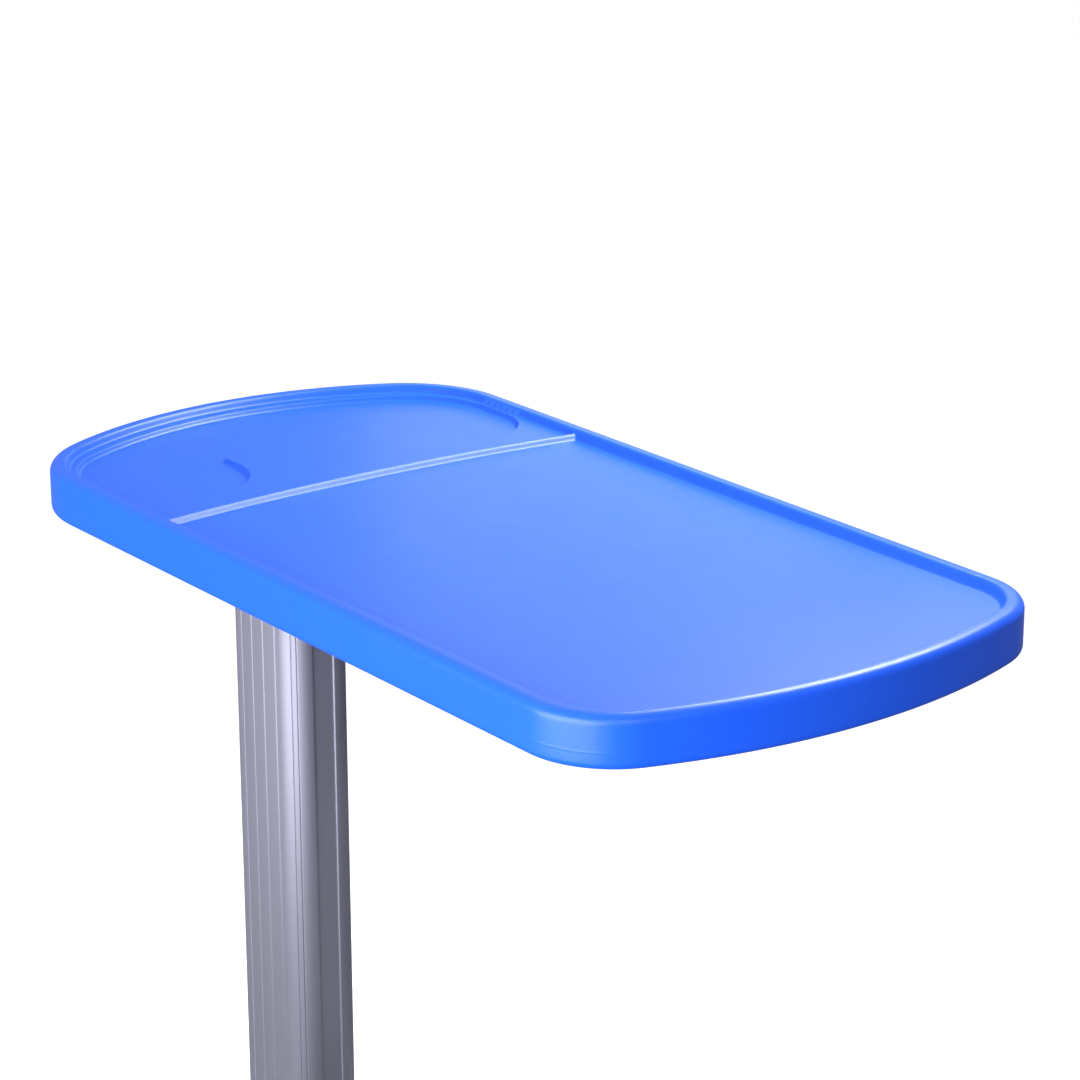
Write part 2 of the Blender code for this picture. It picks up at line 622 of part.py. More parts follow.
# ------------------------------------------------------------------ base
def base_frame(parent):
    middle = LEG_BOTTOM + LEG_HEIGHT / 2
    size = (LEG_WIDTH, LEG_HEIGHT)
    length = LEG_X[1] - LEG_X[0]
    for name, y in (("leg_near", -LEG_Y), ("leg_far", LEG_Y)):
        mesh = tube(name, size, LEG_WALL, length)
        leg = hang(place(name, mesh, PAINT, (LEG_X[0], y, middle), ALONG_X), parent)
        for number, x in enumerate(CASTOR_X):
            hole = prism("hole", [disc_outline(0.0070, 16)], LEG_BOTTOM - 0.002, LEG_BOTTOM + 0.004)
            boolean(leg, helper(f"{name}_hole_tool_{number}", hole, (x, y, 0)), "DIFFERENCE")
    reach = LEG_Y - LEG_WIDTH / 2 - GAP
    mesh = tube("crossbeam", (CROSSBEAM_WIDTH, LEG_HEIGHT), LEG_WALL, 2 * reach)
    beam = hang(place("crossbeam", mesh, PAINT, (COLUMN_X, -reach, middle), ALONG_Y), parent)
    for number, (x, y) in enumerate(bolt_spots()):
        hole = prism("hole", [disc_outline(0.0035, 12)], LEG_TOP - 0.004, LEG_TOP + 0.002)
        boolean(beam, helper(f"crossbeam_hole_tool_{number}", hole, (x, y, 0)), "DIFFERENCE")


def bolt_spots():
    """Plan positions of the bolts through the foot plate."""
    return [(COLUMN_X + x, y) for x in (-0.018, 0.018) for y in (-0.050, 0.050)]


def foot(parent):
    """Foot plate, its bolts and the cover over them."""
    holes = [disc_outline(0.0035, 12, (x - COLUMN_X, y)) for x, y in bolt_spots()]
    outlines = [rounded_rectangle(FOOT_PLATE[:2], 0.006, 2), *holes]
    plate = prism("foot_plate", outlines, PLATE_BOTTOM, PLATE_TOP)
    hang(place("foot_plate", plate, PAINT, (COLUMN_X, 0, 0)), parent)

    head = PLATE_TOP + GAP
    profile = [(0, -0.020), (0.0030, -0.020), (0.0030, 0), (0.0062, 0), (0.0062, 0.0045),
               (0.0050, 0.0060), (0, 0.0060)]
    bolt = turned("foot_bolt", profile, 12)
    for number, (x, y) in enumerate(bolt_spots()):
        hang(place(f"foot_bolt_{number + 1}", bolt, ZINC, (x, y, head)), parent)

    wall = 0.0025
    steps = [((0.118, 0.144), LEG_TOP + GAP, 0.016), ((0.118, 0.144), LEG_TOP + 0.018, 0.016),
             ((0.107, 0.080), LEG_TOP + 0.052, 0.022), ((0.101, 0.066), LEG_TOP + 0.057, 0.020)]
    hole = smaller(MAST, -0.0008)
    rings = [[(x, y, z) for x, y in rounded_rectangle(size, corner)] for size, z, corner in steps]
    rings += [[(x, y, LEG_TOP + height) for x, y in rounded_rectangle(hole, MAST_CORNER + 0.0008)]
              for height in (0.057, 0.0545)]
    for size, z, corner in reversed(steps[:3]):
        below = 0.0018 if z > LEG_TOP + 0.01 else 0
        rings.append([(x, y, z - below) for x, y in rounded_rectangle(smaller(size, wall), corner - 0.002)])
    hang(place("foot_cover", closed_loft("foot_cover", rings), GREY_PLASTIC, (COLUMN_X, 0, 0)), parent)


def leg_end_caps(parent):
    """Plugs that close the legs and hold the castor stems."""
    size = (LEG_WIDTH, LEG_HEIGHT)
    plug = smaller(size, LEG_WALL + GAP)
    depth = 0.052
    flange = prism("cap_flange", [rounded_rectangle(size, 0.003, 2)], -0.005, -GAP)
    tongue = prism("cap_tongue", [rounded_rectangle(plug, 0.001, 1)], -0.001, depth)
    cap = place("cap_master", flange, GREY_PLASTIC)
    boolean(cap, helper("cap_tongue", tongue), "UNION")
    hole = turned("cap_hole", [(0, -0.02), (0.0054, -0.02), (0.0054, 0.0085), (0, 0.0085)], 20, "Y")
    boolean(cap, helper("cap_hole", hole, (0, 0, CASTOR_X[0] - LEG_X[0])), "DIFFERENCE")
    shared = settled_mesh(cap)
    middle = LEG_BOTTOM + LEG_HEIGHT / 2
    turn = {LEG_X[0]: ALONG_X, LEG_X[1]: (math.pi / 2, 0, -math.pi / 2)}
    names = iter(("leg_cap_1", "leg_cap_2", "leg_cap_3", "leg_cap_4"))
    for x in LEG_X:
        for y in (-LEG_Y, LEG_Y):
            hang(place(next(names), shared, None, (x, y, middle), turn[x]), parent)


# ------------------------------------------------------------------ castors
def castor_meshes():
    """Shared meshes of one castor, about its axle's middle; +X points to the stem."""
    inner, outer, half = 0.0265, 0.0292, 0.0205
    web_half = 0.0038

    def slab(name, outline, width):
        bm = bmesh.new()
        loops = [[bm.verts.new((x, y, z)) for x, z in outline] for y in (-width, width)]
        for i in range(len(outline)):
            bm.faces.new((loops[0][i - 1], loops[0][i], loops[1][i], loops[1][i - 1]))
        bm.faces.new(loops[0])
        bm.faces.new(loops[1])
        return to_mesh(bm, name)

    shell = arc((0, 0), outer, 10, 92, 7) + arc((0, 0), inner, 92, 10, 7)
    web = arc((0, 0), 0.0215, 120, 300, 8) + [(0.020, -0.006), (0.0285, 0.006)]
    web += arc((0, 0), 0.0278, 14, 92, 7) + [(-0.008, 0.0235)]

    def hood(braked):
        piece = place("hood_master", slab("castor_hood", shell, half), GREY_PLASTIC)
        boolean(piece, helper("web_tool", slab("web", web, web_half)), "UNION")
        boss = turned("boss", [(0, 0.004), (0.0105, 0.004), (0.0105, 0.0335), (0, 0.0335)], 14)
        boolean(piece, helper("boss_tool", boss, (CASTOR_TRAIL, 0, 0)), "UNION")
        if braked:
            for side in (-1, 1):
                lug = cuboid("lug", (-0.0115, side * 0.0172 - 0.0013, 0.0272),
                             (0.001, side * 0.0172 + 0.0013, 0.0315))
                boolean(piece, helper(f"lug_tool_{side + 1}", lug), "UNION")
        for side in (-1, 1):
            well = turned("well", [(0, 0), (0.0262, 0), (0.0262, 0.03), (0, 0.03)], 24, "Y")
            tool = helper(f"well_tool_{side + 1}", well, (0, 0.0041 if side > 0 else -0.0341, 0))
            boolean(piece, tool, "DIFFERENCE")
        axle_hole = turned("hole", [(0, -0.03), (0.0033, -0.03), (0.0033, 0.03), (0, 0.03)], 12, "Y")
        boolean(piece, helper("axle_hole_tool", axle_hole), "DIFFERENCE")
        stem_hole = turned("hole", [(0, 0.018), (0.0053, 0.018), (0.0054, 0.05), (0, 0.05)], 12)
        boolean(piece, helper("stem_hole_tool", stem_hole, (CASTOR_TRAIL, 0, 0)), "DIFFERENCE")
        return settled_mesh(piece)

    half_width = WHEEL_WIDTH / 2
    r = WHEEL_RADIUS
    wheel = [(0.00335, -half_width + 0.003), (0.0165, -half_width + 0.003), (0.0180, -half_width),
             (r - 0.0025, -half_width), (r, -half_width + 0.003), (r, half_width - 0.003),
             (r - 0.0025, half_width), (0.00335, half_width)]
    stem_low = 0.0185
    stem_high = LEG_TOP - WHEEL_RADIUS - 0.0045
    stem = [(0, stem_low), (STEM_RADIUS, stem_low), (STEM_RADIUS, 0.0338), (0.0088, 0.0338),
            (0.0088, 0.0365), (STEM_RADIUS, 0.0365), (STEM_RADIUS, stem_high - 0.001),
            (STEM_RADIUS - 0.001, stem_high), (0, stem_high)]
    reach = WHEEL_OFFSET + half_width - 0.0005
    axle = [(0, -reach), (AXLE_RADIUS, -reach), (AXLE_RADIUS, reach), (0, reach)]
    pivot = pedal_pivot()
    length, thickness, barrel = 0.0275, 0.0030, 0.0029
    slope = math.radians(198)
    along = Vector((math.cos(slope), math.sin(slope)))
    across = Vector((-along.y, along.x))
    outline = []
    for reach_out, side in ((0.001, -0.5), (length, -0.5), (length + 0.001, 0), (length, 0.5), (0.001, 0.5)):
        spot = reach_out * along + side * thickness * across
        outline.append((spot.x, spot.y))
    pedal = place("pedal_master", slab("brake_pedal", outline, 0.0150), BLACK)
    tube_shape = turned("barrel", [(0, -0.0154), (barrel, -0.0154), (barrel, 0.0154), (0, 0.0154)], 12, "Y")
    boolean(pedal, helper("pedal_barrel_tool", tube_shape), "UNION")
    return {"hood": hood(False), "braked_hood": hood(True), "wheel": turned("castor_wheel", wheel, 24, "Y"),
            "stem": turned("castor_stem", stem, 12), "axle": turned("castor_axle", axle, 12, "Y"),
            "pedal": settled_mesh(pedal), "pivot": pivot}


def pedal_pivot():
    """Brake pedal's pivot from the axle's middle, along X and Z."""
    return (-0.0080, 0.0289)


def castors(parent):
    meshes = castor_meshes()
    number = 0
    for x in CASTOR_X:
        for y in (-LEG_Y, LEG_Y):
            number += 1
            braked = x == CASTOR_X[0]
            swivel = empty_at(f"castor_axis_{number}", (x, y, 0), parent)
            axle = empty_at(f"wheel_axis_{number}", (-CASTOR_TRAIL, 0, WHEEL_RADIUS), swivel)
            hood = meshes["braked_hood"] if braked else meshes["hood"]
            place(f"castor_hood_{number}", hood, None, parent=axle)
            place(f"castor_stem_{number}", meshes["stem"], ZINC, (CASTOR_TRAIL, 0, 0), parent=axle)
            place(f"castor_axle_{number}", meshes["axle"], ZINC, parent=axle)
            for letter, side in (("a", -1), ("b", 1)):
                turn = (0, 0, 0) if side < 0 else (0, 0, math.pi)
                place(f"castor_wheel_{number}{letter}", meshes["wheel"], TREAD,
                      (0, side * WHEEL_OFFSET, 0), turn, axle)
            if braked:
                across, up = meshes["pivot"]
                hinge = empty_at(f"pedal_axis_{number}", (across, 0, up), axle)
                place(f"brake_pedal_{number}", meshes["pedal"], None, parent=hinge)


# ------------------------------------------------------------------ assembly
def build():
    for leftover in list(bpy.data.objects):
        bpy.data.objects.remove(leftover, do_unlink=True)
    base = empty_at("base_guide", (0, 0, 0))
    lift = empty_at("height_axis", (COLUMN_X, 0, 0), base)
    rocker = empty_at("lever_axis", (0, LEVER_PIVOT_Y, LEVER_Z), lift, math.pi)
    plunger = empty_at("valve_axis", (0, 0, LEVER_Z - LEVER_THICKNESS / 2 - GAP), lift)
    bpy.context.view_layer.update()

    moulded_top(lift)
    top_frame(lift)
    top_screws(lift)
    column_head(lift)
    return_spring(lift)
    release_lever(rocker)
    upper_column(lift)
    lower_column(base)
    rod_top = gas_spring(base, lift)
    valve_pin(plunger, rod_top)
    base_frame(base)
    foot(base)
    leg_end_caps(base)
    castors(base)


build()
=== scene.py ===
"""Looks of the overbed table: a moulded blue tray top on a grooved aluminium column and a castor base."""

import json
import math

import bmesh
import bpy
import numpy as np
from mathutils import Matrix, Vector
from mathutils.geometry import delaunay_2d_cdt

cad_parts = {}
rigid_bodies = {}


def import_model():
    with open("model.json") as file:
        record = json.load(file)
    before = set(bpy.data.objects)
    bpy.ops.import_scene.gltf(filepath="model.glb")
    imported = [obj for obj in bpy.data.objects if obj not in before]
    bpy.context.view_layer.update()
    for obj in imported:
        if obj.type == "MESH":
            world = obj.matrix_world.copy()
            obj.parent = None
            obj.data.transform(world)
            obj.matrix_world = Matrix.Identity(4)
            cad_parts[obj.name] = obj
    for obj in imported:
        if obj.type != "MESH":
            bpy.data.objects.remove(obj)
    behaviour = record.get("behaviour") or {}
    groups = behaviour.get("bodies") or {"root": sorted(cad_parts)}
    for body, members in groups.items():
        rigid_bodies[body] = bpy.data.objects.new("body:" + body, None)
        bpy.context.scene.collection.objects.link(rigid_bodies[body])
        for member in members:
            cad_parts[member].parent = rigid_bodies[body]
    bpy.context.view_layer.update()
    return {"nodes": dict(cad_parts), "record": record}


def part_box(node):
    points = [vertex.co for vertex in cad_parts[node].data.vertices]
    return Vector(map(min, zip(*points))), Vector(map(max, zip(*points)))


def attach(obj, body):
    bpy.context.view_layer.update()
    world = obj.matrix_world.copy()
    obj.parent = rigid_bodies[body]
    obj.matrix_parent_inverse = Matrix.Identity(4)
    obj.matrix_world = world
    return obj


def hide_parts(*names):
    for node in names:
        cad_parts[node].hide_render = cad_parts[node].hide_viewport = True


for leftover in list(bpy.data.objects):  # a new Blender scene starts with a cube and a lamp
    bpy.data.objects.remove(leftover)
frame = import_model()

MM = 0.001

# ---- sizes from the frame
TOP_LOW, TOP_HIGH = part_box("tabletop")
SLEEVE_LOW, SLEEVE_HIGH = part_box("upper_sleeve")
RIM_Z = TOP_HIGH.z
HALF_LENGTH = (TOP_HIGH.x - TOP_LOW.x) / 2
HALF_WIDTH = (TOP_HIGH.y - TOP_LOW.y) / 2
THICKNESS = TOP_HIGH.z - TOP_LOW.z
COLUMN = Vector(((SLEEVE_LOW.x + SLEEVE_HIGH.x) / 2, (SLEEVE_LOW.y + SLEEVE_HIGH.y) / 2, 0))
CENTRE = (COLUMN.x, COLUMN.y)

# plan of the top: a bowed end and two round corners at each end
COLUMN_END = {"bow": 0.320, "corner": 0.098}
FREE_END = {"bow": 0.468, "corner": 0.068}

MOUNT_Z = {mount["name"]: mount["pos_m"][2] for mount in frame["record"]["mounts"]}
DECK_DEPTH = RIM_Z - MOUNT_Z["main_deck"]
LEDGE_DEPTH = RIM_Z - MOUNT_Z["ledge"]
RECESS_DEPTH = RIM_Z - MOUNT_Z["recess_floor"]
RIDGE_DEPTH = 3.0 * MM
RIDGE_X = -0.165
RIDGE_BOW = 0.012
RIM_FOOT = 16.5 * MM
RECESS_INSET = 17.5 * MM
RECESS_LEDGE = 6.5 * MM
FAR_LOBE = {"x": -0.240, "radius": 0.0495}
NEAR_LOBE = {"x": -0.252, "radius": 0.0600}
NECK_X = -0.274
NECK_ROUND = 0.006


# ---- node materials
class Shader:
    """Small helper that adds and links nodes around one Principled BSDF."""

    def __init__(self, name):
        self.material = bpy.data.materials.new(name)
        self.material.use_nodes = True
        self.tree = self.material.node_tree
        self.bsdf = self.tree.nodes["Principled BSDF"]
        self.coords = self.add("ShaderNodeTexCoord").outputs["Object"]

    def add(self, kind, **settings):
        node = self.tree.nodes.new(kind)
        for key, value in settings.items():
            setattr(node, key, value)
        return node

    def link(self, output, socket):
        self.tree.links.new(output, socket)

    def set(self, **values):
        names = {"metallic": "Metallic", "roughness": "Roughness", "specular": "Specular IOR Level"}
        for key, value in values.items():
            self.bsdf.inputs[names[key]].default_value = value
        return self

    def stretched(self, scale):
        mapping = self.add("ShaderNodeMapping")
        mapping.inputs["Scale"].default_value = scale
        self.link(self.coords, mapping.inputs["Vector"])
        return mapping.outputs["Vector"]

    def noise(self, scale, detail=4.0, rough=0.55, stretch=(1, 1, 1), distortion=0.0):
        node = self.add("ShaderNodeTexNoise")
        node.inputs["Scale"].default_value = scale
        node.inputs["Detail"].default_value = detail
        node.inputs["Roughness"].default_value = rough
        node.inputs["Distortion"].default_value = distortion
        self.link(self.stretched(stretch), node.inputs["Vector"])
        return node.outputs["Fac"]

    def cells(self, scale, stretch=(1, 1, 1)):
        node = self.add("ShaderNodeTexVoronoi")
        node.inputs["Scale"].default_value = scale
        self.link(self.stretched(stretch), node.inputs["Vector"])
        return node.outputs["Distance"]

    def ramp(self, fac, stops):
        node = self.add("ShaderNodeValToRGB")
        ramp = node.color_ramp
        while len(ramp.elements) < len(stops):
            ramp.elements.new(0.5)
        for element, (place, colour) in zip(ramp.elements, stops):
            element.position = place
            element.color = (*colour, 1.0) if isinstance(colour, tuple) else (colour, colour, colour, 1.0)
        self.link(fac, node.inputs["Fac"])
        return node.outputs["Color"]

    def mix(self, fac, one, two, mode="MIX"):
        node = self.add("ShaderNodeMix", data_type="RGBA", blend_type=mode)
        for name, value in (("Factor", fac), ("A", one), ("B", two)):
            socket = [s for s in node.inputs if s.name == name and s.enabled][0]
            if isinstance(value, bpy.types.NodeSocket):
                self.link(value, socket)
            else:
                socket.default_value = (*value, 1.0) if isinstance(value, tuple) else value
        return [s for s in node.outputs if s.enabled][0]

    def spread(self, fac, low, high):
        node = self.add("ShaderNodeMapRange")
        node.inputs["To Min"].default_value = low
        node.inputs["To Max"].default_value = high
        self.link(fac, node.inputs["Value"])
        return node.outputs["Result"]

    def paint(self, colour):
        if isinstance(colour, tuple):
            self.bsdf.inputs["Base Color"].default_value = (*colour, 1.0)
        else:
            self.link(colour, self.bsdf.inputs["Base Color"])
        return self

    def glow(self, strength):
        self.bsdf.inputs["Emission Color"].default_value = (1, 1, 1, 1)
        self.bsdf.inputs["Emission Strength"].default_value = strength

    def vary_roughness(self, fac, low, high):
        self.link(self.spread(fac, low, high), self.bsdf.inputs["Roughness"])
        return self

    def relief(self, layers):
        """Chain of bumps from (height, distance in metres, strength)."""
        normal = None
        for height, distance, strength in layers:
            bump = self.add("ShaderNodeBump")
            bump.inputs["Distance"].default_value = distance
            bump.inputs["Strength"].default_value = strength
            self.link(height, bump.inputs["Height"])
            if normal is not None:
                self.link(normal, bump.inputs["Normal"])
            normal = bump.outputs["Normal"]
        self.link(normal, self.bsdf.inputs["Normal"])
        return self


def blue_plastic():
    s = Shader("blue_polyethylene_moulded")
    s.set(specular=0.45)
    flow = s.noise(3.2, 3.0, 0.5, (1.0, 3.0, 1.0), 0.8)
    tone = s.mix(flow, (0.009, 0.110, 0.97), (0.012, 0.121, 1.00))
    specks = s.ramp(s.cells(95.0), [(0.0, 1.0), (0.030, 1.0), (0.045, 0.0), (1.0, 0.0)])
    s.paint(s.mix(specks, tone, (0.01, 0.08, 0.62)))
    s.vary_roughness(s.noise(28.0, 5.0), 0.30, 0.40)
    s.relief([(s.noise(9.0, 2.0, 0.4), 0.0020, 0.06), (s.noise(900.0, 3.0, 0.6), 0.0002, 0.10)])
    return s.material


def anodised():
    s = Shader("satin_anodised_aluminium")
    s.set(metallic=0.80)
    lines = s.noise(420.0, 3.0, 0.6, (1.0, 1.0, 0.006))
    cloud = s.noise(9.0, 4.0, 0.55, (1.0, 1.0, 0.35))
    tone = s.mix(cloud, (0.310, 0.312, 0.400), (0.345, 0.347, 0.435))
    pits = s.ramp(s.cells(60.0, (1, 1, 0.55)), [(0.0, 1.0), (0.020, 1.0), (0.032, 0.0), (1.0, 0.0)])
    s.paint(s.mix(pits, tone, (0.16, 0.16, 0.20)))
    s.vary_roughness(lines, 0.58, 0.66)
    s.relief([(lines, 0.0001, 0.25)])
    return s.material


def cast_alloy():
    s = Shader("die_cast_aluminium")
    s.set(metallic=0.9)
    s.paint(s.mix(s.noise(30.0), (0.42, 0.43, 0.45), (0.52, 0.53, 0.55)))
    s.vary_roughness(s.noise(120.0), 0.45, 0.60)
    s.relief([(s.noise(650.0, 4.0), 0.0003, 0.35)])
    return s.material


def powder_coat():
    s = Shader("light_grey_powder_coat")
    s.set(specular=0.5)
    s.paint(s.mix(s.noise(14.0), (0.58, 0.60, 0.62), (0.62, 0.64, 0.66)))
    s.vary_roughness(s.noise(60.0), 0.36, 0.46)
    s.relief([(s.noise(420.0, 2.0, 0.5), 0.0004, 0.22)])
    return s.material


def plated(name, colour, low, high):
    s = Shader(name)
    s.set(metallic=1.0)
    dark = tuple(0.82 * c for c in colour)
    s.paint(s.mix(s.noise(80.0), dark, colour))
    s.vary_roughness(s.noise(300.0), low, high)
    s.relief([(s.noise(900.0), 0.0001, 0.15)])
    return s.material


def grained_plastic(name, colour, rough=0.5):
    s = Shader(name)
    s.set(specular=0.4)
    dark = tuple(0.85 * c for c in colour)
    s.paint(s.mix(s.noise(22.0), dark, colour))
    s.vary_roughness(s.noise(90.0), rough - 0.06, rough + 0.06)
    s.relief([(s.noise(1400.0, 3.0, 0.6), 0.0002, 0.35)])
    return s.material


MATERIALS = {
    "blue_polyethylene": blue_plastic(),
    "anodised_aluminium": anodised(),
    "cast_aluminium": cast_alloy(),
    "painted_steel": powder_coat(),
    "zinc_steel": plated("zinc_plated_steel", (0.62, 0.63, 0.65), 0.25, 0.42),
    "chrome_steel": plated("hard_chromed_steel", (0.80, 0.80, 0.82), 0.06, 0.12),
    "black_enamel": grained_plastic("black_stove_enamel", (0.020, 0.020, 0.022), 0.32),
    "black_plastic": grained_plastic("black_moulded_plastic", (0.022, 0.022, 0.024), 0.48),
    "grey_plastic": grained_plastic("grey_moulded_plastic", (0.085, 0.090, 0.098), 0.50),
    "white_acetal": grained_plastic("natural_acetal", (0.78, 0.78, 0.74), 0.42),
    "grey_tread": grained_plastic("grey_rubber_tread", (0.16, 0.165, 0.17), 0.68),
}


# ---- mesh helpers
def new_piece(name, mesh, slot, body, *nodes):
    """Link a mesh as a piece that rides on a body, takes a slot's finish and stands for CAD nodes."""
    piece = bpy.data.objects.new(name, mesh)
    bpy.context.scene.collection.objects.link(piece)
    mesh.materials.clear()
    mesh.materials.append(MATERIALS[slot])
    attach(piece, body)
    if nodes:
        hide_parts(*nodes)
    return piece


def finish_mesh(bm, name, sharp=40):
    bmesh.ops.remove_doubles(bm, verts=bm.verts, dist=2e-6)
    bmesh.ops.recalc_face_normals(bm, faces=bm.faces)
    mesh = bpy.data.meshes.new(name)
    bm.to_mesh(mesh)
    bm.free()
    mesh.shade_smooth()
    if sharp:
        mesh.set_sharp_from_angle(angle=math.radians(sharp))
    return mesh


def arc_points(centre, radius, start, end, steps):
    turns = np.radians(np.linspace(start, end, steps + 1))
    return np.column_stack((centre[0] + radius * np.cos(turns), centre[1] + radius * np.sin(turns)))


def smooth_max(one, two, width):
    blend = np.clip(0.5 + 0.5 * (one - two) / width, 0.0, 1.0)
    return two + (one - two) * blend + width * blend * (1.0 - blend)


def smooth_min(one, two, width):
    return -smooth_max(-one, -two, width)


def smooth_step(value):
    t = np.clip(value, 0.0, 1.0)
    return t * t * (3.0 - 2.0 * t)


# ---- shapes for the other pieces
def rounded_rectangle(size, corner, steps=8):
    half_x, half_y = size[0] / 2 - corner, size[1] / 2 - corner
    quarters = ((1, 1, 0), (-1, 1, 90), (-1, -1, 180), (1, -1, 270))
    return np.vstack([arc_points((a * half_x, b * half_y), corner, start, start + 90, steps)
                      for a, b, start in quarters])


def walls(bm, rings, closed=False):
    """Quads between rings of equal counts; a closed run also joins its last ring to the first."""
    loops = [[bm.verts.new(tuple(spot)) for spot in ring] for ring in rings]
    for one, two in zip(loops, loops[1:] + (loops[:1] if closed else [])):
        for i in range(len(one)):
            bm.faces.new((one[i - 1], one[i], two[i], two[i - 1]))
    return loops


def skin(bm, rings, closed=False):
    """Closed surface over rings: joined end to end, or with a cap on each end."""
    loops = walls(bm, rings, closed)
    if not closed:
        bm.faces.new(loops[0][::-1])
        bm.faces.new(loops[-1])


def level(outline, z, centre=(0, 0)):
    """Plan outline set at a height."""
    return [(x + centre[0], y + centre[1], z) for x, y in outline.tolist()]


def turned(bm, profile, centre=(0, 0, 0), axis="Z", steps=48, closed=False):
    """Turn (radius, distance along the axis) pairs about an axis through the centre."""
    rings = []
    for radius, along in profile:
        ring = []
        for k in range(steps):
            turn = 2 * math.pi * k / steps
            a, b = radius * math.cos(turn), radius * math.sin(turn)
            spot = {"X": (along, a, b), "Y": (b, along, a), "Z": (a, b, along)}[axis]
            ring.append(Vector(centre) + Vector(spot))
        rings.append(ring)
    skin(bm, rings, closed)


def bar(bm, low, high):
    """Plain box, used only as a part of a fused shape or as a cutter."""
    (x0, y0, z0), (x1, y1, z1) = low, high
    skin(bm, [[(x0, y0, z), (x1, y0, z), (x1, y1, z), (x0, y1, z)] for z in (z0, z1)])


def plate(bm, outline, low, high):
    """Outline in X and Z, given a width along Y."""
    skin(bm, [[(x, y, z) for x, z in outline] for y in (low, high)])


def in_mm(pairs):
    return [(a * MM, b * MM) for a, b in pairs]


def node_copy(name):
    bm = bmesh.new()
    bm.from_mesh(frame["nodes"][name].data)
    return bm


def loose_object(name, bm):
    """Working object that modifiers are applied to; it is removed afterwards."""
    bmesh.ops.recalc_face_normals(bm, faces=bm.faces)
    mesh = bpy.data.meshes.new(name)
    bm.to_mesh(mesh)
    bm.free()
    loose = bpy.data.objects.new(name, mesh)
    bpy.context.scene.collection.objects.link(loose)
    return loose


def evaluated(blank):
    graph = bpy.context.evaluated_depsgraph_get()
    return bpy.data.meshes.new_from_object(blank.evaluated_get(graph))


def fused(name, bm, voxel, passes, share, cutter=None):
    """Fuse overlapping closed shapes, cut them, and round every edge as a casting's are.

    The voxel is the remesh's cell, passes smooth it, and share is how many faces are kept.
    """
    blank = loose_object(name, bm)
    tools = [blank]

    def step(kind, **settings):
        modifier = blank.modifiers.new(kind.lower(), kind)
        for key, value in settings.items():
            setattr(modifier, key, value)

    step("REMESH", mode="VOXEL", voxel_size=voxel)
    if cutter is not None:
        tools.append(loose_object(name + "_cutter", cutter))
        step("BOOLEAN", operation="DIFFERENCE", solver="EXACT", use_self=True, object=tools[1])
        step("REMESH", mode="VOXEL", voxel_size=voxel)
    step("SMOOTH", factor=0.5, iterations=passes)
    step("DECIMATE", ratio=share)
    mesh = evaluated(blank)
    for tool in tools:
        bpy.data.objects.remove(tool)
    mesh.name = name
    mesh.shade_smooth()
    return mesh


def moved(mesh, offset, half_turn=False):
    """Copy of a shared mesh, turned about the vertical if asked, at its own place."""
    copy = mesh.copy()
    turn = Matrix.Rotation(math.pi, 4, "Z") if half_turn else Matrix.Identity(4)
    copy.transform(Matrix.Translation(offset) @ turn)
    return copy


def middle_of(name):
    low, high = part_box(name)
    return (low + high) / 2


def cut_by(bm, cutter, name):
    """Cut a sharp-edged shape and return the finished mesh."""
    blank = loose_object(name, bm)
    tool = loose_object(name + "_cutter", cutter)
    modifier = blank.modifiers.new("cut", "BOOLEAN")
    modifier.operation, modifier.solver, modifier.object = "DIFFERENCE", "EXACT", tool
    modifier.use_self = True
    result = evaluated(blank)
    for loose in (blank, tool):
        bpy.data.objects.remove(loose)
    result.shade_smooth()
    result.set_sharp_from_angle(angle=math.radians(35))
    return result


# ---- plan of the table top
def end_numbers(radii):
    """Bow centre, corner centre and the angle where bow and corner meet, for the +X end."""
    bow_x = HALF_LENGTH - radii["bow"]
    corner_y = HALF_WIDTH - radii["corner"]
    reach = math.sqrt((radii["bow"] - radii["corner"]) ** 2 - corner_y ** 2)
    return bow_x, bow_x + reach, corner_y, math.atan2(corner_y, reach)


def end_curve(radii, inset, corner_steps=18, bow_steps=44):
    """The +X end of the plan, from its near side round to its far side."""
    bow_x, corner_x, corner_y, meet = end_numbers(radii)
    meet = math.degrees(meet)
    corner = radii["corner"] - inset
    near = arc_points((corner_x, -corner_y), corner, -90, -meet, corner_steps)
    middle = arc_points((bow_x, 0), radii["bow"] - inset, -meet, meet, bow_steps)
    far = arc_points((corner_x, corner_y), corner, meet, 90, corner_steps)
    return np.vstack((near, middle[1:-1], far))


def plan(inset, side_steps=70):
    """Closed anticlockwise outline at an inset; every inset has the same number of points."""
    free = end_curve(FREE_END, inset)
    column = -end_curve(COLUMN_END, inset)
    steps = np.linspace(0, 1, side_steps + 1)[1:-1, None]
    far_side = free[-1] + (column[0] - free[-1]) * steps
    near_side = column[-1] + (free[0] - column[-1]) * steps
    return np.vstack((free, far_side, column, near_side))


def inset_of(xy):
    """Distance inwards from the outer edge of the plan."""
    inset = HALF_WIDTH - np.abs(xy[:, 1])
    for radii, sign in ((FREE_END, 1), (COLUMN_END, -1)):
        bow_x, corner_x, corner_y, meet = end_numbers(radii)
        x, y = sign * xy[:, 0], np.abs(xy[:, 1])
        from_bow = radii["bow"] - np.hypot(x - bow_x, y)
        turn = np.arctan2(y - corner_y, x - corner_x)
        in_corner = (x > corner_x) & (turn > meet)
        from_corner = radii["corner"] - np.hypot(x - corner_x, y - corner_y)
        inset = np.where(in_corner, from_corner, np.where(x > 0, np.minimum(inset, from_bow), inset))
    return inset


def ridge_line(y):
    return RIDGE_X + RIDGE_BOW * (y / (HALF_WIDTH - RIM_FOOT)) ** 2


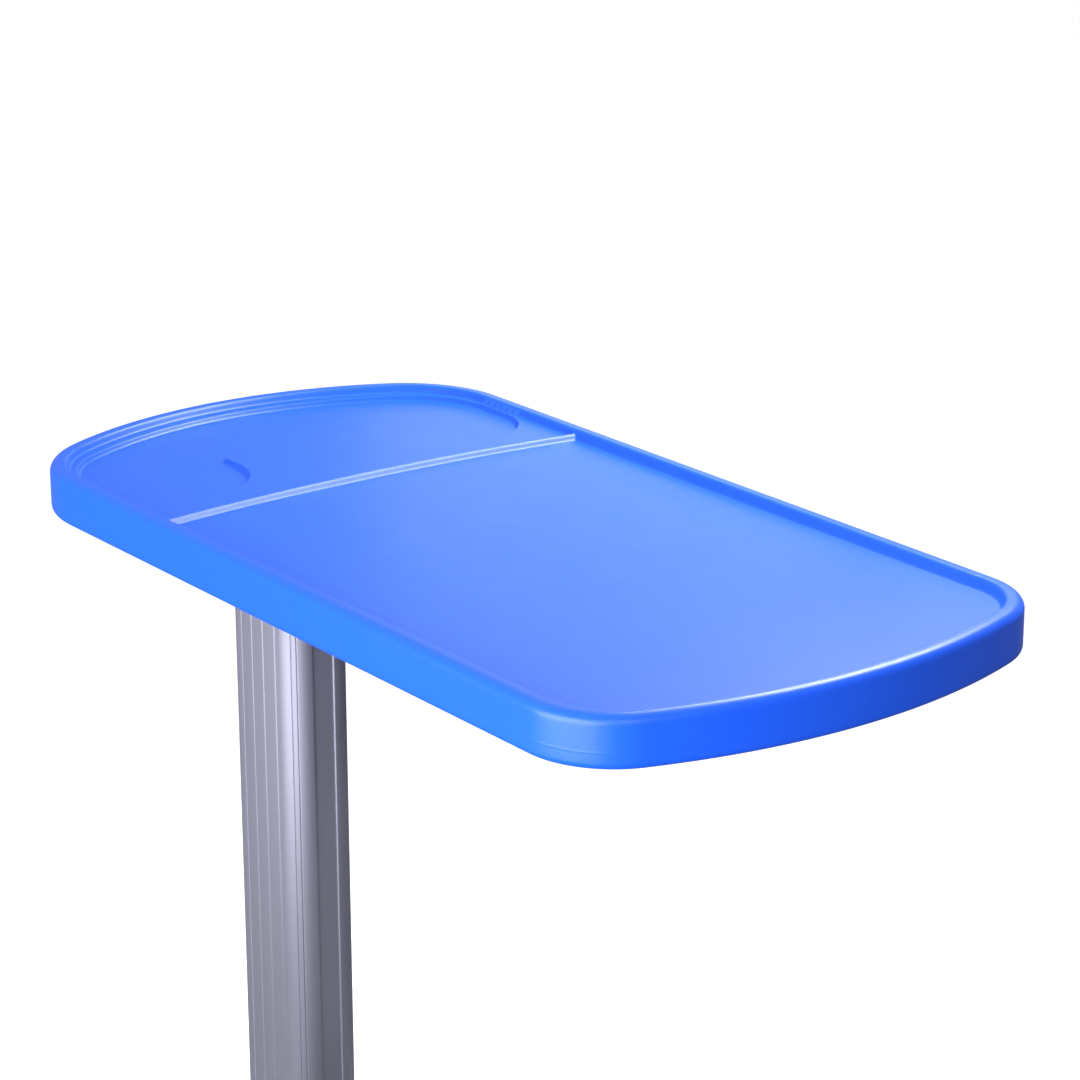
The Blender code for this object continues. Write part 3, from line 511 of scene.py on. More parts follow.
def rounded_path(corners):
    """Closed path through (x, y, round) corners, each rounded by its own radius."""
    path = []
    count = len(corners)
    for i in range(count):
        here = Vector(corners[i][:2])
        before = Vector(corners[i - 1][:2]) - here
        after = Vector(corners[(i + 1) % count][:2]) - here
        radius = corners[i][2]
        if radius == 0:
            path.append(here)
            continue
        half = before.angle(after) / 2
        start = here + before.normalized() * radius / math.tan(half)
        end = here + after.normalized() * radius / math.tan(half)
        for k in range(9):
            t = k / 8
            path.append((1 - t) ** 2 * start + 2 * t * (1 - t) * here + t ** 2 * end)
    return np.array(path)


def recess_outline():
    """Shaped recess: it follows the bowed end and runs out into two round lobes."""
    wall = -end_curve(COLUMN_END, RECESS_INSET, 12, 30)
    wall[:, 0] += RECESS_LEDGE
    corners = [(x, y, 0) for x, y in wall]
    for lobe, sign in ((NEAR_LOBE, -1), (FAR_LOBE, 1)):
        middle = sign * (HALF_WIDTH - RECESS_INSET - lobe["radius"])
        curve = [(x, y, 0) for x, y in arc_points((lobe["x"], middle), lobe["radius"], -90, 90, 24)]
        neck = (NECK_X, middle - sign * lobe["radius"], NECK_ROUND)
        corners += [*curve, neck] if sign < 0 else [neck, *curve]
    return rounded_path(corners)


def resampled(path, step):
    """Points at an even step along a closed path, with the outward normal at each."""
    closed = np.vstack((path, path[:1]))
    lengths = np.hypot(*np.diff(closed, axis=0).T)
    keep = np.append(lengths > 1e-9, True)
    closed, lengths = closed[keep], lengths[lengths > 1e-9]
    along = np.append(0, np.cumsum(lengths))
    count = int(round(along[-1] / step))
    at = np.arange(count) * along[-1] / count
    spots = np.column_stack([np.interp(at, along, closed[:, k]) for k in (0, 1)])
    ahead = np.roll(spots, -1, axis=0) - np.roll(spots, 1, axis=0)
    ahead /= np.hypot(*ahead.T)[:, None]
    return spots, np.column_stack((ahead[:, 1], -ahead[:, 0]))


def signed_distance(xy, path):
    """Distance to a closed path, negative inside."""
    start = path
    step = np.roll(path, -1, axis=0) - start
    squared = np.maximum((step ** 2).sum(1), 1e-18)
    best = np.full(len(xy), 1e9)
    inside = np.zeros(len(xy), bool)
    for (ax, ay), (dx, dy), size in zip(start, step, squared):
        px, py = xy[:, 0] - ax, xy[:, 1] - ay
        t = np.clip((px * dx + py * dy) / size, 0, 1)
        best = np.minimum(best, np.hypot(px - t * dx, py - t * dy))
        if dy != 0:
            crosses = (ay > xy[:, 1]) != (ay + dy > xy[:, 1])
            inside ^= crosses & (px < py * dx / dy)
    return np.where(inside, -best, best)


# ---- upper face of the moulding
WALL_START = 12.6 * MM  # inset where the rim's inner wall leaves the flat of the rim
WALL_SLOPE = 2.1
RECESS_SLOPE = 1.9
RECESS = recess_outline()


def upper_height(xy):
    """Height of the moulding's upper face over the plan."""
    inset = inset_of(xy)
    across = xy[:, 0] - ridge_line(xy[:, 1])
    edge = signed_distance(xy, RECESS) * RECESS_SLOPE
    compartment = -LEDGE_DEPTH + smooth_min(np.zeros(len(xy)), edge, 1.0 * MM)
    compartment = smooth_max(compartment, np.full(len(xy), -RECESS_DEPTH), 2.2 * MM)
    wave = 0.10 * MM * np.sin(xy[:, 0] * 17.0 + 1.3) * np.cos(xy[:, 1] * 23.0 + 0.4)
    floor = np.where(across < 0, compartment, -DECK_DEPTH) + wave
    wall = smooth_min(np.zeros(len(xy)), -(inset - WALL_START) * WALL_SLOPE, 2.8 * MM)
    ridge = -RIDGE_DEPTH - 1.7 * (np.sqrt(across ** 2 + (1.9 * MM) ** 2) - 1.9 * MM)
    height = smooth_max(floor, ridge, 1.6 * MM)
    return RIM_Z + smooth_max(height, wall, 2.2 * MM)


def under_height(xy):
    """Height of the underside, with the moulding's tack-offs pressed up into it."""
    height = np.full(len(xy), TOP_LOW.z)
    for spot in TACK_OFFS:
        x = np.abs(xy[:, 0] - spot[0]) - TACK_HALF
        away = np.hypot(np.maximum(x, 0), xy[:, 1] - spot[1])
        height += TACK_DEPTH * smooth_step((TACK_RADIUS - away) / (6.0 * MM))
    return height


TACK_RADIUS = 11 * MM
TACK_DEPTH = 9 * MM
TACK_HALF = 14 * MM
TACK_OFFS = [(x, y) for x in (-0.10, 0.0, 0.10, 0.20) for y in (-0.155, -0.045, 0.045, 0.155)]
TACK_OFFS += [(0.315, y) for y in (-0.10, 0.0, 0.10)] + [(-0.20, y) for y in (-0.155, 0.155)]


def face_from_points(bm, boundary, points, height):
    """Triangulate points inside a boundary and lift them to a height function."""
    spots = np.vstack((boundary, points))
    count = len(boundary)
    edges = [(i, (i + 1) % count) for i in range(count)]
    flat = [Vector(spot) for spot in spots.tolist()]
    verts, _, faces, *_ = delaunay_2d_cdt(flat, edges, [], 1, 1e-7)
    plan_spots = np.array([tuple(v) for v in verts])
    lifted = height(plan_spots)
    made = [bm.verts.new((x, y, z)) for (x, y), z in zip(plan_spots.tolist(), lifted.tolist())]
    for corners in faces:
        bm.faces.new([made[k] for k in corners])


def clear_of(points, taken, gap):
    """The points that lie further than a gap from every taken point, judged on a coarse grid."""
    used = set()
    for x, y in np.floor(taken / gap).astype(int).tolist():
        used.update((x + i, y + j) for i in (-1, 0, 1) for j in (-1, 0, 1))
    keep = [tuple(cell) not in used for cell in np.floor(points / gap).astype(int).tolist()]
    return points[np.array(keep)]


def grid_points(step, margin):
    """Even grid over the plan, kept a margin inside its edge."""
    grid = np.array([(x, y) for x in np.arange(-HALF_LENGTH, HALF_LENGTH, step)
                     for y in np.arange(-HALF_WIDTH, HALF_WIDTH, step)])
    return grid[inset_of(grid) > margin]


# rows of points that follow each feature, in mm: inset of the rim, and distance from the others
RIM_ROWS = (10.0, 10.9, 11.6, 12.2, 12.8, 13.4, 14.0, 14.6, 15.1, 15.6, 16.1, 16.6, 17.2, 18.0, 19.0)
RIDGE_ROWS = (0.7, 1.4, 2.1, 2.8, 3.5, 4.2, 5.0, 6.0, 7.5)
RECESS_ROWS = (-4.6, -3.6, -3.1, -2.7, -2.3, -1.9, -1.5, -1.1, -0.7, -0.4, -0.1, 0.2, 0.5, 0.9, 1.8)
TACK_ROWS = (12.0, 11.0, 10.2, 9.2, 8.0, 6.8, 5.8, 5.0, 4.0)
CLEAR = 3 * MM  # no grid point comes closer to a feature's rows


def upper_points():
    """Plan points of the upper face: rows along the rim, the divider and the recess, and a grid."""
    rim = np.vstack([plan(inset * MM) for inset in RIM_ROWS])
    end = HALF_WIDTH - 10.2 * MM
    fine = np.arange(end - 16 * MM, end, 0.8 * MM)
    y = np.concatenate((-fine[::-1], np.arange(-fine[0] + 4 * MM, fine[0], 4 * MM), fine))
    offsets = [-q for q in RIDGE_ROWS[::-1]] + [0] + list(RIDGE_ROWS)
    ridge = np.vstack([np.column_stack((ridge_line(y) + q * MM, y)) for q in offsets])
    spots, normals = resampled(RECESS, 2.0 * MM)
    recess = np.vstack([spots + q * MM * normals for q in RECESS_ROWS])
    recess = recess[inset_of(recess) > RIM_FOOT + 0.3 * MM]
    features = np.vstack((rim, ridge, recess))
    return np.vstack((features, clear_of(grid_points(9 * MM, 20 * MM), features, CLEAR)))


def under_points():
    """Plan points of the underside: rings round each tack-off, and a grid."""
    rows = []
    middle = np.linspace(-TACK_HALF, TACK_HALF, 6)[1:-1]
    for x, y in TACK_OFFS:
        for radius in np.array(TACK_ROWS) * MM:
            rows += [arc_points((x + TACK_HALF, y), radius, -90, 90, 14),
                     arc_points((x - TACK_HALF, y), radius, 90, 270, 14),
                     np.column_stack((x + middle, np.full(4, y + radius))),
                     np.column_stack((x + middle, np.full(4, y - radius)))]
    features = np.vstack(rows)
    return np.vstack((features, clear_of(grid_points(16 * MM, 24 * MM), features, CLEAR)))


RIM_FLAT = 9.0 * MM  # inset where the edge mesh hands over to the upper face
WALL_DRAFT = 0.25 * MM  # how far the wall stands in, so that the seam stays inside
LOWER_ROUND = 5.0 * MM
UPPER_ROUND = 7.0 * MM
PARTING_DEPTH = 25.0 * MM
# mould seam round the edge, as (offset, height) in mm
SEAM = ((-1.6, 0.0), (-0.8, 0.0), (-0.3, 0.07), (0.3, 0.07), (0.8, 0.0), (1.6, 0.0))


def edge_profile():
    """(inset, height) of the edge from the flat of the underside round to the flat of the rim."""
    points = [(LOWER_ROUND + 4.0 * MM, -THICKNESS), (LOWER_ROUND + 1.5 * MM, -THICKNESS)]
    reach = LOWER_ROUND - WALL_DRAFT
    for a in np.radians(np.linspace(90, 0, 11)):
        points.append((WALL_DRAFT + reach * (1 - math.cos(a)), LOWER_ROUND * (1 - math.sin(a)) - THICKNESS))
    for offset, proud in SEAM:
        points.append((WALL_DRAFT - proud * MM, offset * MM - PARTING_DEPTH))
    points += [(WALL_DRAFT, depth * MM) for depth in (-19.0, -14.0, -9.5)]
    reach = UPPER_ROUND - WALL_DRAFT
    for a in np.radians(np.linspace(0, 90, 13)):
        points.append((WALL_DRAFT + reach * (1 - math.cos(a)), UPPER_ROUND * (math.sin(a) - 1)))
    points.append((RIM_FLAT, 0.0))
    return points


def table_top():
    """Hollow moulding: its edge all round, its upper face and its underside."""
    bm = bmesh.new()
    profile = edge_profile()
    walls(bm, [level(plan(inset), RIM_Z + depth) for inset, depth in profile])
    face_from_points(bm, plan(RIM_FLAT), upper_points(), upper_height)
    face_from_points(bm, plan(profile[0][0]), under_points(), under_height)
    mesh = finish_mesh(bm, "moulded_table_top", 0)
    return new_piece("moulded_table_top", mesh, "blue_polyethylene", "top", "tabletop")


# ---- column
SLEEVE_CORNER = 20.0 * MM
SLEEVE_BOW = 1.2 * MM
SLEEVE_WALL = 3.0 * MM
GROOVE_PITCH = 16.4 * MM
GROOVE = (1.5 * MM, 0.65 * MM)  # width and depth
BEAD_GROOVE = (1.3 * MM, 0.45 * MM)
BEAD_ANGLES = (37.5, 50.5)  # where a corner's two grooves lie, in degrees from X
CHANNEL_DEPTH = 1.0 * MM
CHANNEL_EDGE = 1.1 * MM  # width of the channel's rounded side
FIRST_MARK = 0.5 * MM  # the first point of a quarter section, beside its middle
END_SHRINK = 0.992  # scale of a section at its chamfered ends


def dip(along, middle, width, depth):
    """Rounded groove across a face."""
    t = np.clip(np.abs(along - middle) / (width / 2), 0, 1)
    return depth * (1 - t ** 3) ** 2


def marks(middles, width, low, high, steps):
    """Even marks from low to high, closer together at the given middles."""
    even = np.linspace(low, high, steps)
    close = [middle + width * t for middle in middles for t in np.linspace(-0.55, 0.55, 12)]
    together = np.sort(np.concatenate((even, close)))
    return together[(together >= low) & (together <= high)]


def whole_section(quarter):
    """Mirror a quarter section, which runs from the X axis to the Y axis, into the whole."""
    upper = np.vstack((quarter, quarter[::-1] * (-1, 1)))
    return np.vstack((upper, -upper))


def column_outline():
    """Section of the extrusion: grooved wide faces, channelled narrow faces and beaded corners."""
    half_x = (SLEEVE_HIGH.x - SLEEVE_LOW.x) / 2
    half_y = (SLEEVE_HIGH.y - SLEEVE_LOW.y) / 2 - SLEEVE_BOW
    flat_x, flat_y = half_x - SLEEVE_CORNER, half_y - SLEEVE_CORNER

    grooves = [GROOVE_PITCH * k for k in (0.5, 1.5)]
    x = marks(grooves, GROOVE[0], FIRST_MARK, flat_x, 16)
    wide_y = half_y + SLEEVE_BOW * (1 - (x / flat_x) ** 2)
    for middle in grooves:
        wide_y -= dip(x, middle, *GROOVE)

    y = np.concatenate((np.linspace(FIRST_MARK, flat_y - CHANNEL_EDGE, 5)[:-1],
                        np.linspace(flat_y - CHANNEL_EDGE, flat_y, 9)))
    narrow_x = half_x - CHANNEL_DEPTH * (1 - smooth_step((y - flat_y + CHANNEL_EDGE) / CHANNEL_EDGE))

    beads = np.radians(BEAD_ANGLES)
    width = BEAD_GROOVE[0] / SLEEVE_CORNER
    turns = marks(beads, width, 0.0, math.pi / 2, 30)
    radius = np.full(len(turns), SLEEVE_CORNER)
    for bead in beads:
        radius -= dip(turns, bead, width, BEAD_GROOVE[1])
    corner = np.column_stack((flat_x + radius * np.cos(turns), flat_y + radius * np.sin(turns)))

    narrow, wide = np.column_stack((narrow_x, y)), np.column_stack((x, wide_y))
    return whole_section(np.vstack((narrow, corner[1:], wide[::-1][1:])))


def column():
    """Extruded upper column with its bore and chamfered ends."""
    outline = column_outline()
    inner = rounded_rectangle((SLEEVE_HIGH.x - SLEEVE_LOW.x - 2 * SLEEVE_WALL,
                               SLEEVE_HIGH.y - SLEEVE_LOW.y - 2 * SLEEVE_BOW - 2 * SLEEVE_WALL),
                              SLEEVE_CORNER - SLEEVE_WALL)
    bm = bmesh.new()
    low, high = SLEEVE_LOW.z, SLEEVE_HIGH.z
    chamfer = 0.4 * MM
    outside = walls(bm, [level(outline * END_SHRINK, low, CENTRE), level(outline, low + chamfer, CENTRE),
                         level(outline, high - chamfer, CENTRE), level(outline * END_SHRINK, high, CENTRE)])
    bore = walls(bm, [level(inner, z, CENTRE) for z in (low, high)])
    for rings in ((outside[0], bore[0]), (outside[-1], bore[1])):
        edges = [bm.edges.get((ring[i - 1], ring[i])) for ring in rings for i in range(len(ring))]
        bmesh.ops.triangle_fill(bm, edges=edges, use_beauty=True)
    mesh = finish_mesh(bm, "grooved_column", 60)
    return new_piece("grooved_column", mesh, "anodised_aluminium", "top", "upper_sleeve")


# ---- under the top
HEAD_PLATE = 10 * MM
GUSSET_X = 38 * MM  # from the column's middle
GUSSET_HALF = 2.2 * MM
# one gusset in Y and Z from the column's middle and the plate's underside, in mm
GUSSET = ((34, -34), (42, -34), (104, -1), (104, 1), (34, 3))
HEAD_BOLTS = (50 * MM, 100 * MM)


def column_head():
    """Casting under the top: the CAD shape with rounded edges and gussets beside its socket."""
    plate_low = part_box("column_head")[1].z - HEAD_PLATE
    bm = node_copy("column_head")
    for x in (-GUSSET_X, GUSSET_X):
        for sign in (-1, 1):
            outline = [(sign * y * MM, plate_low + z * MM) for y, z in GUSSET]
            skin(bm, [[(COLUMN.x + x + side * GUSSET_HALF, y, z) for y, z in outline] for side in (-1, 1)])
    mesh = fused("column_head_casting", bm, 0.9 * MM, 3, 0.25)
    new_piece("column_head_casting", mesh, "cast_aluminium", "top", "column_head")

    bolts, sockets = bmesh.new(), bmesh.new()
    for x in (-HEAD_BOLTS[0], HEAD_BOLTS[0]):
        for y in (-HEAD_BOLTS[1], HEAD_BOLTS[1]):
            spot = (COLUMN.x + x, y, plate_low)
            turned(bolts, in_mm([(4.6, 0), (4.6, -4.2), (3.9, -5.0)]), spot, steps=32)
            turned(sockets, in_mm([(2.3, -2.4), (2.3, -6)]), spot, steps=6)
    new_piece("head_bolts", cut_by(bolts, sockets, "head_bolts"), "zinc_steel", "top")


def release_handle():
    """Release lever and its dipped grip with finger ribs underneath."""
    lever = fused("release_bar", node_copy("release_lever"), 0.45 * MM, 2, 0.15)
    new_piece("release_bar", lever, "zinc_steel", "release", "release_lever")

    low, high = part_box("lever_grip")
    bm = node_copy("lever_grip")
    first, pitch, sunk = 8 * MM, 7 * MM, 0.9 * MM
    for k in range(5):
        spot = ((low.x + high.x) / 2, low.y + first + pitch * k, low.z + sunk)
        turned(bm, in_mm([(1.3, -10), (1.3, 10)]), spot, "X", 16)
    grip = fused("dipped_grip", bm, 0.55 * MM, 5, 0.3)
    new_piece("dipped_grip", grip, "black_enamel", "release", "lever_grip")


def pan_screws():
    """Pan-head screws with a cross recess, seen from below."""
    low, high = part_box("top_screw_1")
    length = (high.z - low.z) / MM
    profile = [(1.2, 0), (2.6, 0.15), (3.8, 0.75), (4.6, 1.9), (4.8, 3.0), (2.0, 3.0),
               (2.0, length - 2.0), (0.4, length)]
    scale = (high.x - low.x) / 2 / (4.8 * MM)
    screw, cross = bmesh.new(), bmesh.new()
    turned(screw, [(radius * scale, along) for radius, along in in_mm(profile)], steps=36)
    for across, along in ((2.2, 0.45), (0.45, 2.2)):
        bar(cross, (-across * MM, -along * MM, -1 * MM), (across * MM, along * MM, 1.6 * MM))
    mesh = cut_by(screw, cross, "pan_screw")
    for number in (1, 2, 3, 4):
        low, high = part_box(f"top_screw_{number}")
        place = ((low.x + high.x) / 2, (low.y + high.y) / 2, low.z)
        new_piece(f"pan_screw_{number}", moved(mesh, place), "zinc_steel", "top", f"top_screw_{number}")


BLOW_HOLE_X = 55 * MM


def blow_plug():
    """Cap over the hole where the moulding was blown."""
    bm = bmesh.new()
    profile = [(8.6, 3.0), (8.6, -0.1), (10.6, -0.1), (10.9, -0.6), (10.2, -1.3), (4.0, -1.5), (0.8, -1.5)]
    turned(bm, in_mm(profile), (BLOW_HOLE_X, 0, TOP_LOW.z), steps=40)
    new_piece("blow_hole_plug", finish_mesh(bm, "blow_hole_plug", 40), "blue_polyethylene", "top")


# rail plugs: how far each ring stands out of the tube, its inset from the tube and its corner, in mm
PLUG_RINGS = ((-8, 2.2, 0.8), (-0.05, 2.2, 0.8), (0.05, 0.3, 1.4), (1.2, 0.3, 1.4), (1.9, 1.2, 0.8),
              (2.1, 2.4, 0.8))


def end_plugs():
    """Plastic plugs in the open ends of the frame rails."""
    bm = bmesh.new()
    for name in ("frame_rail_near", "frame_rail_far"):
        low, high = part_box(name)
        middle = (low + high) / 2
        for x, sign in ((low.x, -1), (high.x, 1)):
            rings = []
            for out, trim, corner in PLUG_RINGS:
                size = (high.y - low.y - 2 * trim * MM, high.z - low.z - 2 * trim * MM)
                shape = rounded_rectangle(size, corner * MM, 4).tolist()
                rings.append([(x + sign * out * MM, middle.y + a, middle.z + b) for a, b in shape])
            skin(bm, rings)
    new_piece("rail_end_plugs", finish_mesh(bm, "rail_end_plugs", 40), "black_plastic", "top")


# ---- column below the sleeve
MAST_LOW, MAST_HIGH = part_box("lower_mast")
MAST = (MAST_HIGH.x - MAST_LOW.x, MAST_HIGH.y - MAST_LOW.y)
MAST_CORNER = 14 * MM
MAST_WALL = 2.5 * MM
MAST_GROOVE = (10 * MM, 1.6 * MM, 0.6 * MM)  # place, width and depth


def mast():
    """Inner extrusion with two shallow grooves on each wide face, and the sleeve's collar round it."""
    flat_x = MAST[0] / 2 - MAST_CORNER
    place, width, depth = MAST_GROOVE
    x = marks([place], width, FIRST_MARK, flat_x, 10)
    wide = np.column_stack((x, MAST[1] / 2 - dip(x, place, width, depth)))
    bend = arc_points((flat_x, MAST[1] / 2 - MAST_CORNER), MAST_CORNER, 0, 90, 16)
    outline = whole_section(np.vstack((bend, wide[::-1][1:])))
    inside = outline * (1 - 2 * MAST_WALL / MAST[0], 1 - 2 * MAST_WALL / MAST[1])
    low, high, bevel = MAST_LOW.z, MAST_HIGH.z, 0.3 * MM
    rings = ((inside, low), (outline * END_SHRINK, low), (outline, low + bevel),
             (outline, high - bevel), (outline * END_SHRINK, high), (inside, high))
    bm = bmesh.new()
    skin(bm, [level(shape, z, CENTRE) for shape, z in rings], closed=True)
    new_piece("inner_mast", finish_mesh(bm, "inner_mast", 40), "anodised_aluminium", "base", "lower_mast")
    collar = fused("sleeve_collar", node_copy("sleeve_glide"), 0.7 * MM, 3, 0.2)
    new_piece("sleeve_collar", collar, "black_plastic", "top", "sleeve_glide")


def eased(stations, steps=8, share=0.42):
    """Round every inner corner of a run of number lists with a quadratic curve."""
    stations = [np.array(station, float) for station in stations]
    run = [stations[0]]
    for before, here, after in zip(stations, stations[1:], stations[2:]):
        start, end = here + (before - here) * share, here + (after - here) * share
        for t in np.linspace(0, 1, steps + 1):
            run.append((1 - t) ** 2 * start + 2 * t * (1 - t) * here + t ** 2 * end)
    run.append(stations[-1])
    return run


COVER_WAIST = (107 * MM, 80 * MM, 52 * MM, 22 * MM)  # size, height and corner where the slope ends
COVER_NECK = (16 * MM, 17.5 * MM)  # how much wider than the mast its top is
COVER_WALL = 2.2 * MM
COVER_GAP = 0.6 * MM
COVER_DROP = 1.6 * MM  # how much lower the inner face is


def foot_cover():
    """Moulded cover over the foot: it slopes up to the mast, and is hollow below."""
    low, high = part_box("foot_cover")
    size = (high.x - low.x, high.y - low.y)
    neck = (MAST[0] + COVER_NECK[0], MAST[1] + COVER_NECK[1])
    hole = (MAST[0] + 2 * COVER_GAP, MAST[1] + 2 * COVER_GAP)
    waist_x, waist_y, waist_z, waist_corner = COVER_WAIST
    outer = eased([(*size, low.z, 16 * MM), (*size, low.z + 18 * MM, 16 * MM),
                   (waist_x, waist_y, low.z + waist_z, waist_corner), (*neck, high.z - 0.4 * MM, 20 * MM)])

    def ring(across, along, z, corner):
        return level(rounded_rectangle((across, along), corner, 10), z, CENTRE)

    rings = [ring(*numbers) for numbers in outer]
    rings += [ring(neck[0] - 1.0 * MM, neck[1] - 1.0 * MM, high.z, 19.5 * MM),
              ring(*hole, high.z, MAST_CORNER + COVER_GAP),
              ring(*hole, high.z - 3 * MM, MAST_CORNER + COVER_GAP)]
    for across, along, z, corner in outer[::-1][2:]:
        down = COVER_DROP if z > low.z + 4 * MM else 0
        rings.append(ring(across - 2 * COVER_WALL, along - 2 * COVER_WALL, z - down, corner - 2 * MM))
    bm = bmesh.new()
    skin(bm, rings, closed=True)
    new_piece("foot_shroud", finish_mesh(bm, "foot_shroud", 40), "grey_plastic", "base", "foot_cover")


# ---- base and castors
RIPPLE_STEP = 0.55 * MM
RIPPLE = (0.86, 0.14, 0.9)  # least size, how much it swells, and its turn for each step
BASE_WELD = 1.6 * MM
FRAME_WELD = 1.2 * MM


def weld_bead(bm, start, end, radius):
    """Rippled bead of weld along a straight joint, tapered at both ends."""
    start, end = Vector(start), Vector(end)
    along = (end - start).normalized()
    side = along.orthogonal().normalized()
    other = along.cross(side)
    count = int((end - start).length / RIPPLE_STEP)
    least, swell, turn = RIPPLE
    rings = []
    for k in range(count + 1):
        size = radius * (least + swell * abs(math.sin(k * turn)))
        if k in (0, count):
            size = radius * 0.35
        centre = start + (end - start) * (k / count)
        rings.append([centre + size * (math.cos(t) * side + math.sin(t) * other)
                      for t in np.linspace(0, 2 * math.pi, 11)[:-1]])
    skin(bm, rings)


def welds():
    """Beads where the crossbeam meets the legs and where the ties meet the rails."""
    bm = bmesh.new()
    low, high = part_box("crossbeam")
    short = 2 * MM
    for y in (low.y, high.y):
        for z in (low.z, high.z):
            weld_bead(bm, (low.x + short, y, z), (high.x - short, y, z), BASE_WELD)
        for x in (low.x, high.x):
            weld_bead(bm, (x, y, low.z + short), (x, y, high.z - short), BASE_WELD)
    new_piece("base_welds", finish_mesh(bm, "base_welds", 0), "painted_steel", "base")

    bm = bmesh.new()
    for name in ("frame_tie_column", "frame_tie_free"):
        low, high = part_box(name)
        for y in (low.y, high.y):
            weld_bead(bm, (low.x + short, y, low.z), (high.x - short, y, low.z), FRAME_WELD)
            for x in (low.x, high.x):
                weld_bead(bm, (x, y, low.z + short / 2), (x, y, high.z - short / 2), FRAME_WELD)
    new_piece("frame_welds", finish_mesh(bm, "frame_welds", 0), "painted_steel", "top")


def leg_caps():
    for number in (1, 2, 3, 4):
        node = f"leg_cap_{number}"
        mesh = fused(f"leg_plug_{number}", node_copy(node), 0.8 * MM, 3, 0.22)
        new_piece(f"leg_plug_{number}", mesh, "black_plastic", "base", node)


AXLE_TO_STEM = 17 * MM
HOOD_INNER, HOOD_OUTER, HOOD_HALF = 26.5 * MM, 29.2 * MM, 20.5 * MM
HOOD_ROUND = 1.2 * MM
HOOD_TURN = (10, 92)  # where the shell starts and ends round the wheels, in degrees
WEB_HALF = 3.8 * MM
WHEEL_WELL = 26.2 * MM
LUG_Y = 17.2 * MM  # middle of each of the pedal's lugs


def castor_hood_mesh(braked):
    """Twin-wheel castor's housing, about its axle's middle; +X points to the stem."""
    bm = bmesh.new()
    inner, outer, half = HOOD_INNER, HOOD_OUTER, HOOD_HALF
    shoulder = 0.35 * HOOD_ROUND
    corner = [(inner, half), (outer - HOOD_ROUND, half), (outer - shoulder, half - shoulder),
              (outer, half - HOOD_ROUND)]
    section = [(radius, -y) for radius, y in corner] + corner[::-1]
    skin(bm, [[(radius * math.cos(turn), y, radius * math.sin(turn)) for radius, y in section]
              for turn in np.radians(np.linspace(*HOOD_TURN, 26))])
    web = np.vstack((arc_points((0, 0), 21.5 * MM, 120, 300, 24), in_mm([(20, -6), (28.5, 6)]),
                     arc_points((0, 0), 27.8 * MM, 14, 92, 16), in_mm([(-8, 23.5)])))
    plate(bm, web.tolist(), -WEB_HALF, WEB_HALF)
    turned(bm, in_mm([(10.5, 4), (10.5, 33.4)]), (AXLE_TO_STEM, 0, 0), steps=40)
    if braked:
        for y in (-LUG_Y, LUG_Y):
            bar(bm, (-11.5 * MM, y - 1.3 * MM, 27.2 * MM), (1 * MM, y + 1.3 * MM, 31.5 * MM))

    cutter = bmesh.new()
    inner_face, beyond = WEB_HALF + 0.3 * MM, 34 * MM
    turned(cutter, [(WHEEL_WELL, inner_face), (WHEEL_WELL, beyond)], axis="Y", steps=64)
    turned(cutter, [(WHEEL_WELL, -beyond), (WHEEL_WELL, -inner_face)], axis="Y", steps=64)
    turned(cutter, in_mm([(3.3, -5), (3.3, 5)]), axis="Y", steps=24)
    turned(cutter, in_mm([(5.4, 18), (5.4, 50)]), (AXLE_TO_STEM, 0, 0), steps=32)
    return fused("castor_hood", bm, 0.55 * MM, 3, 0.16, cutter)


# sections of a wheel in mm, as (radius, distance along the axle)
TYRE = ((18.6, -7.4), (20.6, -8.3), (22.3, -8.5), (23.7, -8.0), (24.6, -6.8), (24.95, -5.2), (25.0, 0),
        (24.95, 5.2), (24.6, 6.8), (23.7, 8.0), (22.3, 8.5), (18.6, 8.3))
HUB = ((3.4, 8.4), (18.6, 8.4), (18.6, -7.2), (17.7, -7.6), (16.9, -7.2), (16.4, -5.6), (9.4, -5.2),
       (8.6, -6.9), (7.6, -7.5), (3.4, -7.6))
HUB_CAP = ((3.3, -7.0), (5.2, -7.0), (5.2, -7.9), (4.4, -8.3), (0.5, -8.45))
HUB_RIBS = 8


def castor_wheel_meshes():
    """Tyre and hub of one wheel about its middle, with the outer face towards -Y."""
    tyre, hub = bmesh.new(), bmesh.new()
    turned(tyre, in_mm(TYRE), axis="Y", steps=72, closed=True)
    turned(hub, in_mm(HUB), axis="Y", steps=64, closed=True)
    turned(hub, in_mm(HUB_CAP), axis="Y", steps=32)
    for k in range(HUB_RIBS):
        rib = bmesh.new()
        bar(rib, (8.8 * MM, -6.9 * MM, -0.8 * MM), (16.8 * MM, -5.0 * MM, 0.8 * MM))
        turn = Matrix.Rotation(2 * math.pi * k / HUB_RIBS, 3, "Y")
        bmesh.ops.rotate(rib, verts=rib.verts, matrix=turn)
        part = bpy.data.meshes.new("rib")
        rib.to_mesh(part)
        rib.free()
        hub.from_mesh(part)
        bpy.data.meshes.remove(part)
    return finish_mesh(tyre, "castor_tyre", 40), finish_mesh(hub, "castor_hub", 35)


PEDAL_SLOPE = math.radians(18)
PEDAL_BARREL = 2.9 * MM
TREAD = {"first": 8 * MM, "pitch": 4 * MM, "lift": 1.55 * MM, "count": 5}


